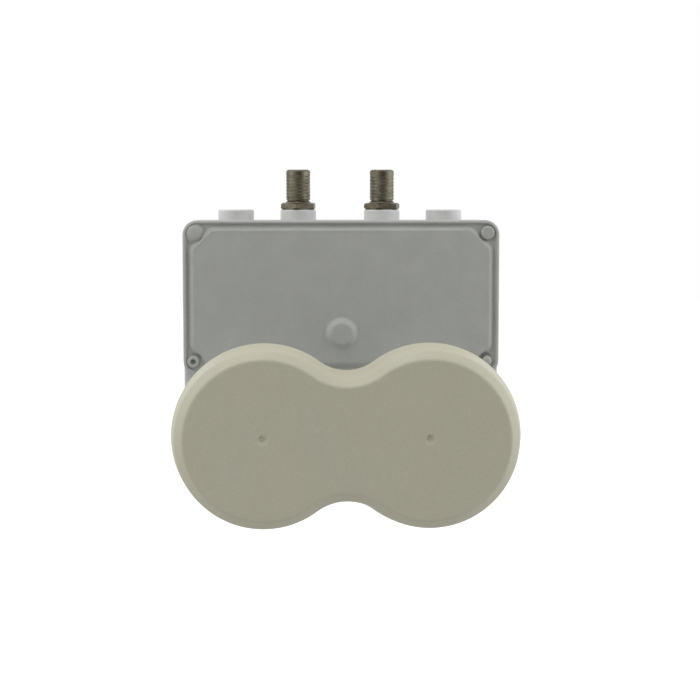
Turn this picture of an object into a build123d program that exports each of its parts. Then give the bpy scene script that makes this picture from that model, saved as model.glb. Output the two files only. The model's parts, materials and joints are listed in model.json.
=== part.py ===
"""Twin-feed satellite LNB: one die-cast chassis with two feed horns, a figure-eight weather cap,
a relief-cast front lid, a rear cover, two boards and two F connectors.

Millimetres. X runs across the two feeds, Y runs from the cap to the rear cover, Z points up along the
connectors. The origin lies midway between the two necks, at the middle of their clamp length.
"""

import os
from math import atan2, degrees, sqrt

from build123d import *

os.makedirs("parts", exist_ok=True)

# Feeds: two necks, each flaring into a horn
feed_spacing = 60.4
neck_diameter = 23.0
neck_length = 26.0
waveguide_diameter = 18.0
horn_length = 33.0
horn_mouth_diameter = 52.4
horn_rim_wall = 2.0
flare_diameter = 42.0
flare_wall = 3.0
neck_blend = 5.0
neck_root_round = 1.5
choke_ring_wall = 1.6
choke_ring_setback = 7.0
choke_depth = 12.0

# Weather cap
waist_radius = 16.6
cap_depth = 16.5
cap_wall = 2.0
cap_bevel_wall = 1.0
cap_bevel_shift = 0.8
cap_draft = 1.7
bevel_width = 3.3
bevel_depth = 4.0
bevel_round = 1.2
cap_clearance = 0.3
cap_bead = 0.5
cap_bead_height = 1.2
cap_bead_setback = 4.0
gate_mark_radius = 1.8
gate_mark_depth = 0.6
gate_pip_radius = 0.5
cap_stop_thickness = 2.2
seal_width = 1.3
seal_thickness = 1.0

# Box
box_depth = 25.0
box_bottom = -20.0
wall = 3.4
front_wall = 3.0
partition = 3.0
mid_wall = 2.0
corner_cut = 7.2
corner_round = 2.0
box_edge_round = 0.8

# Front lid and rear cover
lid_width = 123.0
lid_height = 60.4
lid_bottom = 18.1
lid_overhang = 0.2
lid_corner_radius = 5.7
cover_thickness = 2.4
cover_edge_round = 0.5
rim_width = 1.0
groove_depth = 1.0
panel_rise = 0.3
panel_foot_inset = 2.1
panel_foot_cut = 8.5
panel_slope = 1.8
panel_round = 3.0
cover_hollow = 1.0
pad_height_on_lid = 16.2
pad_base_radius = 6.7
pad_top_radius = 3.6
pad_rise = 1.0
pad_round = 0.5
lip_depth = 2.0
lip_wall = 1.6
lip_clearance = 0.3
gasket_thickness = 0.8
gasket_setback = 0.9

# Cover screws
screw_inset = 4.9
screw_side_inset = 4.55
lower_screw_inset = 5.4
lower_screw_side_inset = 4.1
rear_screw_inset = 4.4
screw_shank_radius = 1.45
screw_head_radius = 2.7
screw_head_height = 1.4
screw_head_round = 0.7
screw_length = 10.0
screw_socket_radius = 1.1
screw_socket_depth = 1.0
screw_clearance = 0.05
pass_clearance = 0.25
seat_clearance = 0.3
tip_clearance = 0.5
lug_radius = 3.4

# Connector bosses on top of the box
boss_radius = 7.0
boss_rise = 4.2
boss_setback = 12.0
inner_boss_spacing = 33.0
outer_boss_spacing = 81.9
boss_edge_round = 0.7

# F connectors
f_thread_radius = 4.76
f_barrel_length = 13.0
f_mouth_chamfer = 0.7
f_relief_radius = 4.2
f_relief_length = 0.9
f_hex_across_flats = 12.9
f_hex_height = 2.6
f_hex_chamfer = 0.7
f_hex_turn_left = 23.0
f_hex_turn_right = 16.0
f_spigot_radius = 4.0
f_bore_radius = 3.2
f_ring_thickness = 0.5
f_ring_width = 1.6
f_insulator_recess = 0.5
f_wire_hole_radius = 0.6
f_contact_radius = 0.95
f_contact_recess = 2.5
f_contact_socket_depth = 7.0
f_tail_radius = 0.5
f_tail_overlap = 11.0
fit_clearance = 0.05

# Switch board in the front compartment
board_thickness = 1.6
board_margin = 3.0
standoff_height = 1.4
standoff_radius = 3.0
switch_screw_spacing_x = 76.0
switch_screw_spacing_z = 36.0
small_shank_radius = 1.2
small_head_radius = 2.2
small_head_height = 1.2
small_head_round = 0.6
small_thread_depth = 2.4
chip_length = 9.9
chip_width = 6.0
chip_height = 1.75
chip_chamfer = 0.45
chip_spacing = 26.0
chip_row_drop = 11.3
regulator_size = 6.5
regulator_height = 2.3
regulator_corner = 0.6
regulator_spacing = 52.0
capacitor_radius = 4.0
capacitor_height = 7.0
capacitor_round = 0.5
capacitor_spacing = 84.0

# Radio board and its shield in the rear compartment
rf_board_thickness = 0.8
shield_thickness = 5.5
shield_relief = 2.0
shield_rib = 3.0
board_clearance = 0.4
back_short_depth = 4.5
probe_tongue_width = 4.0
probe_tongue_length = 6.5
probe_width = 1.6
probe_thickness = 0.2
shield_screw_inset = 9.1
shield_screw_rows = (-6.0, 31.0, 66.0)
channel_width = 7.0
channel_top = 42.0
channel_depth = 2.5
transistor_size = 2.2
transistor_height = 1.0
transistor_rows = (14.0, 24.0, 34.0)
puck_spacing = 28.0
puck_height = 24.0
puck_radius = 2.8
puck_thickness = 2.2
puck_pocket_radius = 5.5
puck_pocket_depth = 4.0
tuning_gap = 0.8
tuning_stand_out = 1.0
link_pin_radius = 0.4
link_pin_stand_out = 0.5
link_bead_radius = 1.4
link_row = 46.0
link_spots = (-24.0, -10.0, 10.0, 24.0)
link_pocket_margin = 3.0

# The cap goes over the horns, so its lobes take their size from the horn's mouth
rim_front_inset = bevel_width + cap_draft + cap_bevel_wall
lobe_radius = horn_mouth_diameter / 2 + horn_rim_wall + rim_front_inset

# Levels along Y, from the cap to the rear cover
neck_front = -neck_length / 2
box_front = neck_length / 2
box_rear = box_front + box_depth
horn_front = neck_front - horn_length
cap_inner_face = horn_front - seal_thickness
cap_face = cap_inner_face - cap_wall
cap_bevel_end = cap_face + bevel_depth
cap_rear = cap_face + cap_depth
cap_inner_bevel_end = cap_bevel_end + cap_bevel_shift
stop_front = cap_rear + cap_clearance
stop_rear = stop_front + cap_stop_thickness
bead_front = cap_rear - cap_bead_setback
lid_rear = box_front - gasket_thickness
cover_front = box_rear + gasket_thickness
boss_axis_y = box_front + boss_setback
switch_board_front = boss_axis_y + f_tail_radius + fit_clearance
switch_board_rear = switch_board_front + board_thickness
mid_wall_front = switch_board_rear + standoff_height
mid_wall_rear = mid_wall_front + mid_wall
rf_board_rear = mid_wall_rear + rf_board_thickness
shield_rear = rf_board_rear + shield_thickness

# Levels along Z
lid_top = lid_bottom + lid_height
lid_centre = lid_bottom + lid_height / 2
box_top = lid_top - lid_overhang
box_width = lid_width - 2 * lid_overhang
box_height = box_top - box_bottom
box_centre = (box_top + box_bottom) / 2
box_corner_radius = lid_corner_radius - lid_overhang
bay_width = box_width - 2 * wall
front_bay_height = lid_height - 2 * (lid_overhang + wall)
rear_bay_height = box_height - 2 * wall
lower_bay_top = lid_centre - front_bay_height / 2 - partition
lower_bay_bottom = box_bottom + wall
boss_top = box_top + boss_rise
bay_ceiling = lid_centre + front_bay_height / 2
f_ring_bottom = boss_top - f_ring_thickness
f_hex_top = boss_top + f_hex_height
f_top = f_hex_top + f_barrel_length
switch_board_height = front_bay_height - 2 * board_margin
switch_board_top = lid_centre + switch_board_height / 2
pad_centre = lid_bottom + pad_height_on_lid

# Places that several pieces share
feeds = (-feed_spacing / 2, feed_spacing / 2)
screw_x = lid_width / 2 - screw_side_inset
screw_z = lid_height / 2 - screw_inset
shield_screw_x = bay_width / 2 - shield_screw_inset
rear_screw_x = box_width / 2 - rear_screw_inset
rear_screw_z = box_height / 2 - rear_screw_inset
lower_screw_x = lid_width / 2 - lower_screw_side_inset
lower_screw_z = lid_height / 2 - lower_screw_inset
lower_screw_spots = [(-lower_screw_x, -lower_screw_z), (lower_screw_x, -lower_screw_z)]
lid_screw_spots = lower_screw_spots + [(-screw_x, screw_z), (screw_x, screw_z)]
rear_screw_rows = (-rear_screw_z, 0, rear_screw_z)
rear_screw_spots = [(x, z) for x in (-rear_screw_x, rear_screw_x) for z in rear_screw_rows]
lug_spots = [(-rear_screw_x, 0), (rear_screw_x, 0)]
shield_spots = [(x, z) for z in shield_screw_rows for x in (-shield_screw_x, 0, shield_screw_x)]
post_spots = [(x, z) for x, z in shield_spots if z < lower_bay_top]
puck_spots = [(-puck_spacing / 2, puck_height), (puck_spacing / 2, puck_height)]
pin_spots = [(x, link_row) for x in link_spots]
screw_hole_radius = screw_shank_radius + screw_clearance
pass_hole_radius = screw_shank_radius + pass_clearance
small_hole_radius = small_shank_radius + screw_clearance
small_pass_radius = small_shank_radius + pass_clearance
waveguide_radius = waveguide_diameter / 2
f_hole_radius = f_spigot_radius + fit_clearance
f_ring_radius = f_hole_radius + f_ring_width
panel_top_inset = panel_foot_inset + panel_slope
panel_top_cut = panel_foot_cut - panel_slope * (2 - sqrt(2))


def across(y, z=0.0):
    """A plane across the feeds at depth y, facing the front, centred at height z."""
    return Plane((0, y, z), x_dir=(1, 0, 0), z_dir=(0, -1, 0))


def from_behind(y, z=0.0):
    """A plane across the feeds at depth y, facing the rear, centred at height z."""
    return Plane((0, y, z), x_dir=(-1, 0, 0), z_dir=(0, 1, 0))


def figure_eight(inset):
    """The outline of two round lobes joined by hollow waists, drawn in by inset from the cap's skirt."""
    half_spacing = feed_spacing / 2
    waist_centre = sqrt((lobe_radius + waist_radius) ** 2 - half_spacing**2)
    lean = degrees(atan2(waist_centre, half_spacing))
    with BuildSketch() as outline:
        with BuildLine():
            CenterArc((half_spacing, 0), lobe_radius - inset, lean - 180, 360 - 2 * lean)
            CenterArc((0, waist_centre), waist_radius + inset, lean - 180, 180 - 2 * lean)
            CenterArc((-half_spacing, 0), lobe_radius - inset, lean, 360 - 2 * lean)
            CenterArc((0, -waist_centre), waist_radius + inset, lean, 180 - 2 * lean)
        make_face()
    return outline.sketch


def cut_corner(width, height, cut, rounding):
    """A rectangle with slanted, rounded corners, which leave room for the screws."""
    with BuildSketch() as outline:
        Rectangle(width, height)
        chamfer(outline.vertices(), cut)
        fillet(outline.vertices(), rounding)
    return outline.sketch


def cap_inset(y):
    """How far the cap's drafted outer wall lies inside the skirt's outline at depth y."""
    return cap_draft * (cap_rear - y) / (cap_rear - cap_bevel_end)


def relief_cover(width, height, corner_radius):
    """A cast cover, rear face at zero and front upwards: rim, groove and raised panel with cut corners."""
    floor = cover_thickness - groove_depth
    hollow_inset = lid_overhang + wall + lip_clearance + lip_wall
    with BuildPart() as cover:
        with BuildSketch():
            RectangleRounded(width, height, corner_radius)
        extrude(amount=cover_thickness)
        fillet(cover.faces().sort_by(Axis.Z)[-1].edges(), cover_edge_round)
        with BuildSketch(Plane.XY.offset(floor)):
            RectangleRounded(width - 2 * rim_width, height - 2 * rim_width, corner_radius - rim_width)
        extrude(amount=groove_depth, mode=Mode.SUBTRACT)
        with BuildSketch(Plane.XY.offset(floor)):
            foot_width = width - 2 * panel_foot_inset
            foot_height = height - 2 * panel_foot_inset
            add(cut_corner(foot_width, foot_height, panel_foot_cut, panel_round))
        with BuildSketch(Plane.XY.offset(cover_thickness + panel_rise)):
            top_width = width - 2 * panel_top_inset
            top_height = height - 2 * panel_top_inset
            add(cut_corner(top_width, top_height, panel_top_cut, panel_round))
        loft(ruled=True)
        with BuildSketch():
            add(cut_corner(width - 2 * hollow_inset, height - 2 * hollow_inset, panel_top_cut, panel_round))
        extrude(amount=cover_hollow, mode=Mode.SUBTRACT)
    return cover.part


def round_head_screw(shank_radius, length, head_radius, head_height, head_round, socket_radius=0.0):
    """A screw with its head's seat at zero and its head upwards. The thread is left plain."""
    with BuildPart() as screw:
        with BuildSketch():
            Circle(head_radius)
        extrude(amount=head_height)
        fillet(screw.faces().sort_by(Axis.Z)[-1].edges(), head_round)
        with BuildSketch():
            Circle(shank_radius)
        extrude(amount=-length)
        if socket_radius > 0:
            with BuildSketch(Plane.XY.offset(head_height)):
                Circle(socket_radius)
            extrude(amount=-screw_socket_depth, mode=Mode.SUBTRACT)
    return screw.part


# One die-casting: the box with its inner wall and four bosses, two necks and two horns
inner_wall_inset = cap_inset(cap_inner_bevel_end) + cap_wall
bead_inset = cap_inset(bead_front) + cap_wall
rim_wall_inset = inner_wall_inset + cap_clearance
rim_rear_inset = cap_wall + cap_clearance
flange_radius = flare_diameter / 2 + flare_wall

with BuildPart() as casting:
    with BuildSketch(across(box_rear, box_centre)):
        RectangleRounded(box_width, box_height, box_corner_radius)
    extrude(amount=box_depth)
    fillet(casting.faces().sort_by(Axis.Y)[0].edges(), box_edge_round)

    # Compartments, with slanted corners left for the screws
    with BuildSketch(across(box_rear, box_centre)):
        add(cut_corner(bay_width, rear_bay_height, corner_cut, corner_round))
    extrude(amount=box_rear - mid_wall_rear, mode=Mode.SUBTRACT)
    with BuildSketch(across(mid_wall_front, lid_centre)):
        add(cut_corner(bay_width, front_bay_height, corner_cut, corner_round))
    extrude(amount=mid_wall_front - box_front, mode=Mode.SUBTRACT)
    with BuildSketch(across(mid_wall_rear, (lower_bay_top + lower_bay_bottom) / 2)):
        add(cut_corner(bay_width, lower_bay_top - lower_bay_bottom, corner_cut, corner_round))
    extrude(amount=mid_wall_rear - box_front - front_wall, mode=Mode.SUBTRACT)

    # Lugs for the rear cover's middle screws, posts for the shield, studs for the switch board
    with BuildSketch(across(box_rear, box_centre)):
        with Locations(*lug_spots):
            Circle(lug_radius)
    extrude(amount=box_rear - mid_wall_rear)
    with BuildSketch(across(mid_wall_rear)):
        with Locations(*post_spots):
            Circle(standoff_radius)
    extrude(amount=mid_wall_rear - box_front)
    with BuildSketch(across(mid_wall_front, lid_centre)):
        with GridLocations(switch_screw_spacing_x, switch_screw_spacing_z, 2, 2):
            Circle(standoff_radius)
    extrude(amount=standoff_height)

    # Necks that run through the front wall to the radio board, and flares behind the horns
    for feed_x in feeds:
        with BuildSketch(Plane.XY.move(Location((feed_x, 0, 0)))) as neck_profile:
            with BuildLine():
                Polyline(
                    (0, mid_wall_rear),
                    (neck_diameter / 2, mid_wall_rear),
                    (neck_diameter / 2, neck_front),
                    (flange_radius, stop_rear),
                    (flange_radius, stop_front),
                    (0, stop_front),
                    close=True,
                )
            make_face()
            fillet(neck_profile.vertices().sort_by_distance((neck_diameter / 2, neck_front))[0], neck_blend)
        revolve(axis=Axis((feed_x, 0, 0), (0, 1, 0)))
    front_edges = casting.edges().filter_by_position(Axis.Y, box_front, box_front)
    circles = front_edges.filter_by(GeomType.CIRCLE)
    neck_roots = [edge for edge in circles if abs(edge.radius - neck_diameter / 2) < fit_clearance]
    fillet(neck_roots, neck_root_round)

    # Figure-eight rim that carries the cap, with a stop behind it and a groove for the cap's bead
    with BuildSketch(across(stop_rear)):
        add(figure_eight(cap_clearance))
    extrude(amount=cap_stop_thickness)
    with BuildSketch(across(stop_front)):
        add(figure_eight(rim_rear_inset))
    with BuildSketch(across(cap_inner_bevel_end)):
        add(figure_eight(rim_wall_inset))
    loft(ruled=True)
    with BuildSketch(across(cap_inner_bevel_end)):
        add(figure_eight(rim_wall_inset))
    with BuildSketch(across(horn_front)):
        add(figure_eight(rim_front_inset))
    loft(ruled=True)
    with BuildSketch(across(bead_front + cap_bead_height / 2 + cap_clearance)):
        add(figure_eight(0))
        add(figure_eight(bead_inset + cap_bead + 2 * cap_clearance), mode=Mode.SUBTRACT)
    extrude(amount=cap_bead_height + 2 * cap_clearance, mode=Mode.SUBTRACT)

    # Waveguides, flares and one choke ring in each horn
    for feed_x in feeds:
        with BuildSketch(Plane.XY.move(Location((feed_x, 0, 0)))):
            with BuildLine():
                Polyline(
                    (0, mid_wall_rear),
                    (waveguide_radius, mid_wall_rear),
                    (waveguide_radius, neck_front),
                    (flare_diameter / 2, stop_rear),
                    (flare_diameter / 2, horn_front + choke_ring_setback),
                    (flare_diameter / 2 + choke_ring_wall, horn_front + choke_ring_setback),
                    (flare_diameter / 2 + choke_ring_wall, horn_front + choke_depth),
                    (horn_mouth_diameter / 2, horn_front + choke_depth),
                    (horn_mouth_diameter / 2, horn_front),
                    (0, horn_front),
                    close=True,
                )
            make_face()
        revolve(axis=Axis((feed_x, 0, 0), (0, 1, 0)), mode=Mode.SUBTRACT)

    # Bosses: the inner two take the connectors and their sealing rings, the outer two are blank
    with BuildSketch(Plane.XY.offset(box_top - wall / 2)):
        for spacing in (inner_boss_spacing, outer_boss_spacing):
            with Locations((-spacing / 2, boss_axis_y), (spacing / 2, boss_axis_y)):
                Circle(boss_radius)
    extrude(amount=boss_rise + wall / 2)
    fillet(casting.faces().group_by(Axis.Z)[-1].edges(), boss_edge_round)
    with BuildSketch(Plane.XY.offset(boss_top)):
        with Locations((-inner_boss_spacing / 2, boss_axis_y), (inner_boss_spacing / 2, boss_axis_y)):
            Circle(f_hole_radius)
    extrude(amount=bay_ceiling - boss_top, mode=Mode.SUBTRACT)
    with BuildSketch(Plane.XY.offset(boss_top)):
        with Locations((-inner_boss_spacing / 2, boss_axis_y), (inner_boss_spacing / 2, boss_axis_y)):
            Circle(f_ring_radius + fit_clearance)
    extrude(amount=-f_ring_thickness, mode=Mode.SUBTRACT)

    # Screw holes and the four holes for the link pins
    with BuildSketch(across(box_front, lid_centre)):
        with Locations(*lid_screw_spots):
            Circle(screw_hole_radius)
    extrude(amount=-screw_length, mode=Mode.SUBTRACT)
    with BuildSketch(across(box_rear, box_centre)):
        with Locations(*rear_screw_spots):
            Circle(screw_hole_radius)
    extrude(amount=box_rear - mid_wall_rear, mode=Mode.SUBTRACT)
    with BuildSketch(across(mid_wall_rear)):
        with Locations(*shield_spots):
            Circle(small_hole_radius)
    extrude(amount=mid_wall, mode=Mode.SUBTRACT)
    with BuildSketch(across(switch_board_rear, lid_centre)):
        with GridLocations(switch_screw_spacing_x, switch_screw_spacing_z, 2, 2):
            Circle(small_hole_radius)
    extrude(amount=-small_thread_depth - screw_clearance, mode=Mode.SUBTRACT)
    with BuildSketch(across(mid_wall_rear)):
        with Locations(*pin_spots):
            Circle(link_bead_radius + fit_clearance)
    extrude(amount=mid_wall, mode=Mode.SUBTRACT)

# The casting is kept as four nodes, parted at the ends of its necks, so that a clamp has free room round each
with BuildPart() as chassis:
    add(casting.part)
    split(bisect_by=across(box_front), keep=Keep.BOTTOM)
chassis.part.label = "chassis"
export_step(chassis.part, "parts/chassis.step")

with BuildPart() as horn_pair:
    add(casting.part)
    split(bisect_by=across(neck_front), keep=Keep.TOP)
horn_pair.part.label = "horn_pair"
export_step(horn_pair.part, "parts/horn_pair.step")

for side, kept in (("left", Keep.BOTTOM), ("right", Keep.TOP)):
    with BuildPart() as neck:
        add(casting.part)
        split(bisect_by=across(box_front), keep=Keep.TOP)
        split(bisect_by=across(neck_front), keep=Keep.BOTTOM)
        split(bisect_by=Plane.YZ, keep=kept)
    neck.part.label = f"neck_{side}"
    export_step(neck.part, f"parts/neck_{side}.step")

# Front lid: relief-cast cover with a round pad, screw seats and a lip that enters the box
lid_floor = lid_rear - cover_thickness + groove_depth
lid_panel_front = lid_rear - cover_thickness - panel_rise

with BuildPart(across(lid_rear, lid_centre)) as front_lid:
    add(relief_cover(lid_width, lid_height, lid_corner_radius))
    with BuildSketch(across(lid_panel_front, pad_centre)):
        Circle(pad_base_radius)
    with BuildSketch(across(lid_panel_front - pad_rise, pad_centre)):
        Circle(pad_top_radius)
    loft()
    fillet(front_lid.faces().sort_by(Axis.Y)[0].edges(), pad_round)
    with BuildSketch(across(lid_floor, lid_centre)):
        with Locations(*lid_screw_spots):
            Circle(screw_head_radius + seat_clearance)
    extrude(amount=groove_depth + panel_rise, mode=Mode.SUBTRACT)
    with BuildSketch(across(lid_rear, lid_centre)):
        with Locations(*lid_screw_spots):
            Circle(pass_hole_radius)
    extrude(amount=cover_thickness, mode=Mode.SUBTRACT)
    lip_width = bay_width - 2 * lip_clearance
    lip_height = front_bay_height - 2 * lip_clearance
    with BuildSketch(across(lid_rear, lid_centre)):
        add(cut_corner(lip_width, lip_height, corner_cut, corner_round))
        add(
            cut_corner(lip_width - 2 * lip_wall, lip_height - 2 * lip_wall, corner_cut, corner_round),
            mode=Mode.SUBTRACT,
        )
    extrude(amount=-lip_depth - gasket_thickness)
front_lid.part.label = "front_lid"
export_step(front_lid.part, "parts/front_lid.step")

with BuildPart() as front_lid_gasket:
    with BuildSketch(across(box_front, lid_centre)):
        RectangleRounded(
            box_width - 2 * gasket_setback,
            lid_height - 2 * (lid_overhang + gasket_setback),
            box_corner_radius - gasket_setback,
        )
        add(cut_corner(bay_width, front_bay_height, corner_cut, corner_round), mode=Mode.SUBTRACT)
        with Locations(*lid_screw_spots):
            Circle(pass_hole_radius, mode=Mode.SUBTRACT)
    extrude(amount=gasket_thickness)
front_lid_gasket.part.label = "front_lid_gasket"
export_step(front_lid_gasket.part, "parts/front_lid_gasket.step")

# Lid screws: three sockets are filled with paint, and the lower left one is open
cover_grip = cover_thickness - groove_depth + gasket_thickness
plain_screw = round_head_screw(
    screw_shank_radius, screw_length, screw_head_radius, screw_head_height, screw_head_round
)
open_screw = round_head_screw(
    screw_shank_radius,
    screw_length,
    screw_head_radius,
    screw_head_height,
    screw_head_round,
    screw_socket_radius,
)
with BuildPart(across(lid_floor, lid_centre)) as front_lid_screws:
    with Locations(*lid_screw_spots[1:]):
        add(plain_screw)
    with Locations(lid_screw_spots[0]):
        add(open_screw)
front_lid_screws.part.label = "front_lid_screws"
export_step(front_lid_screws.part, "parts/front_lid_screws.step")

# Rear cover, its gasket and its screws
cover_floor = cover_front + cover_thickness - groove_depth

with BuildPart(from_behind(cover_front, box_centre)) as rear_cover:
    add(relief_cover(box_width, box_height, box_corner_radius))
    with BuildSketch(from_behind(cover_floor, box_centre)):
        with Locations(*rear_screw_spots):
            Circle(screw_head_radius + seat_clearance)
    extrude(amount=groove_depth + panel_rise, mode=Mode.SUBTRACT)
    with BuildSketch(from_behind(cover_front, box_centre)):
        with Locations(*rear_screw_spots):
            Circle(pass_hole_radius)
    extrude(amount=cover_thickness, mode=Mode.SUBTRACT)
rear_cover.part.label = "rear_cover"
export_step(rear_cover.part, "parts/rear_cover.step")

with BuildPart() as rear_cover_gasket:
    with BuildSketch(from_behind(box_rear, box_centre)):
        RectangleRounded(
            box_width - 2 * gasket_setback,
            box_height - 2 * gasket_setback,
            box_corner_radius - gasket_setback,
        )
        add(cut_corner(bay_width, rear_bay_height, corner_cut, corner_round), mode=Mode.SUBTRACT)
        with Locations(*lug_spots):
            Circle(lug_radius)
        with Locations(*rear_screw_spots):
            Circle(pass_hole_radius, mode=Mode.SUBTRACT)
    extrude(amount=gasket_thickness)
rear_cover_gasket.part.label = "rear_cover_gasket"
export_step(rear_cover_gasket.part, "parts/rear_cover_gasket.step")

rear_screw_length = cover_grip + box_rear - mid_wall_rear - tip_clearance
rear_screw = round_head_screw(
    screw_shank_radius,
    rear_screw_length,
    screw_head_radius,
    screw_head_height,
    screw_head_round,
    screw_socket_radius,
)
with BuildPart(from_behind(cover_floor, box_centre)) as rear_cover_screws:
    with Locations(*rear_screw_spots):
        add(rear_screw)
rear_cover_screws.part.label = "rear_cover_screws"
export_step(rear_cover_screws.part, "parts/rear_cover_screws.step")

# Weather cap: a thin drafted shell with a bevelled face, a snap bead and two gate marks
face_inset = cap_draft + bevel_width

with BuildPart() as feed_cap:
    with BuildSketch(across(cap_rear)):
        add(figure_eight(0))
    with BuildSketch(across(cap_bevel_end)):
        add(figure_eight(cap_draft))
    loft(ruled=True)
    with BuildSketch(across(cap_bevel_end)):
        add(figure_eight(cap_draft))
    with BuildSketch(across(cap_face)):
        add(figure_eight(face_inset))
    loft(ruled=True)
    fillet(feed_cap.edges().filter_by_position(Axis.Y, cap_face - 1, cap_bevel_end + 1), bevel_round)
    with BuildSketch(across(cap_rear)):
        add(figure_eight(cap_wall))
    with BuildSketch(across(cap_inner_bevel_end)):
        add(figure_eight(inner_wall_inset))
    loft(ruled=True, mode=Mode.SUBTRACT)
    with BuildSketch(across(cap_inner_bevel_end)):
        add(figure_eight(inner_wall_inset))
    with BuildSketch(across(cap_inner_face)):
        add(figure_eight(rim_front_inset))
    loft(ruled=True, mode=Mode.SUBTRACT)
    with BuildSketch(across(bead_front + cap_bead_height / 2)):
        add(figure_eight(bead_inset - cap_wall / 2))
        add(figure_eight(bead_inset + cap_bead), mode=Mode.SUBTRACT)
    extrude(amount=cap_bead_height)
    with BuildSketch(across(cap_face)):
        with Locations(*[(feed_x, 0) for feed_x in feeds]):
            Circle(gate_mark_radius)
            Circle(gate_pip_radius, mode=Mode.SUBTRACT)
    extrude(amount=-gate_mark_depth, mode=Mode.SUBTRACT)
feed_cap.part.label = "feed_cap"
export_step(feed_cap.part, "parts/feed_cap.step")

seal_outer_inset = rim_front_inset + (horn_rim_wall - seal_width) / 2
with BuildPart() as cap_seal:
    with BuildSketch(across(horn_front)):
        add(figure_eight(seal_outer_inset))
        add(figure_eight(seal_outer_inset + seal_width), mode=Mode.SUBTRACT)
    extrude(amount=seal_thickness)
cap_seal.part.label = "cap_seal"
export_step(cap_seal.part, "parts/cap_seal.step")

# F connectors: body with hex flange, insulator, spring contact and sealing ring
insulator_top = f_top - f_insulator_recess
contact_top = insulator_top - f_contact_recess
tail_bottom = switch_board_top - f_tail_overlap
f_hex_radius = f_hex_across_flats / sqrt(3)
f_sides = (
    ("left", -inner_boss_spacing / 2, f_hex_turn_left),
    ("right", inner_boss_spacing / 2, f_hex_turn_right),
)

for side, f_x, hex_turn in f_sides:
    f_axis = Axis((f_x, boss_axis_y, 0), (0, 0, 1))
    f_plane = Plane((f_x, boss_axis_y, 0), x_dir=(1, 0, 0), z_dir=(0, -1, 0))

    with BuildPart() as f_connector:
        with BuildSketch(Plane((f_x, boss_axis_y, boss_top))):
            RegularPolygon(f_hex_radius, 6, rotation=hex_turn)
        extrude(amount=f_hex_height)
        with BuildSketch(f_plane):
            with BuildLine():
                Polyline(
                    (0, boss_top),
                    (f_hex_radius - f_hex_chamfer, boss_top),
                    (f_hex_radius, boss_top + f_hex_chamfer / 2),
                    (f_hex_radius, f_hex_top - f_hex_chamfer / 2),
                    (f_hex_radius - f_hex_chamfer, f_hex_top),
                    (0, f_hex_top),
                    close=True,
                )
            make_face()
        revolve(axis=f_axis, mode=Mode.INTERSECT)
        with BuildSketch(f_plane):
            with BuildLine():
                Polyline(
                    (0, bay_ceiling),
                    (f_spigot_radius, bay_ceiling),
                    (f_spigot_radius, boss_top),
                    (f_relief_radius, f_hex_top),
                    (f_relief_radius, f_hex_top + f_relief_length),
                    (f_thread_radius, f_hex_top + f_relief_length),
                    (f_thread_radius, f_top - f_mouth_chamfer),
                    (f_thread_radius - f_mouth_chamfer, f_top),
                    (0, f_top),
                    close=True,
                )
            make_face()
        revolve(axis=f_axis)
        with BuildSketch(Plane((f_x, boss_axis_y, bay_ceiling))):
            Circle(f_bore_radius)
        extrude(amount=f_top - bay_ceiling, mode=Mode.SUBTRACT)
    f_connector.part.label = f"f_connector_{side}"
    export_step(f_connector.part, f"parts/f_connector_{side}.step")

    with BuildPart() as f_insulator:
        with BuildSketch(Plane((f_x, boss_axis_y, bay_ceiling))):
            Circle(f_bore_radius - fit_clearance)
        extrude(amount=insulator_top - bay_ceiling)
        with BuildSketch(Plane((f_x, boss_axis_y, bay_ceiling))):
            Circle(f_contact_radius + fit_clearance)
        extrude(amount=contact_top - bay_ceiling, mode=Mode.SUBTRACT)
        with BuildSketch(Plane((f_x, boss_axis_y, insulator_top))):
            Circle(f_wire_hole_radius)
        extrude(amount=-f_contact_recess, mode=Mode.SUBTRACT)
    f_insulator.part.label = f"f_insulator_{side}"
    export_step(f_insulator.part, f"parts/f_insulator_{side}.step")

    with BuildPart() as f_contact:
        with BuildSketch(Plane((f_x, boss_axis_y, bay_ceiling))):
            Circle(f_contact_radius)
        extrude(amount=contact_top - bay_ceiling)
        with BuildSketch(Plane((f_x, boss_axis_y, contact_top))):
            Circle(f_wire_hole_radius)
        extrude(amount=-f_contact_socket_depth, mode=Mode.SUBTRACT)
        with BuildSketch(Plane((f_x, boss_axis_y, tail_bottom))):
            Circle(f_tail_radius)
        extrude(amount=bay_ceiling - tail_bottom)
    f_contact.part.label = f"f_contact_{side}"
    export_step(f_contact.part, f"parts/f_contact_{side}.step")

    with BuildPart() as f_sealing_ring:
        with BuildSketch(Plane((f_x, boss_axis_y, f_ring_bottom))):
            Circle(f_ring_radius)
            Circle(f_hole_radius, mode=Mode.SUBTRACT)
        extrude(amount=f_ring_thickness)
    f_sealing_ring.part.label = f"f_sealing_ring_{side}"
    export_step(f_sealing_ring.part, f"parts/f_sealing_ring_{side}.step")

# Switch board with its screws, chips, regulators and capacitors
with BuildPart() as switch_board:
    with BuildSketch(across(switch_board_rear, lid_centre)):
        add(cut_corner(bay_width - 2 * board_margin, switch_board_height, corner_cut, corner_round))
        with GridLocations(switch_screw_spacing_x, switch_screw_spacing_z, 2, 2):
            Circle(small_pass_radius, mode=Mode.SUBTRACT)
        with Locations(*[(x, z - lid_centre) for x, z in pin_spots]):
            Circle(link_pin_radius + fit_clearance, mode=Mode.SUBTRACT)
    extrude(amount=board_thickness)
switch_board.part.label = "switch_board"
export_step(switch_board.part, "parts/switch_board.step")

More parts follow.
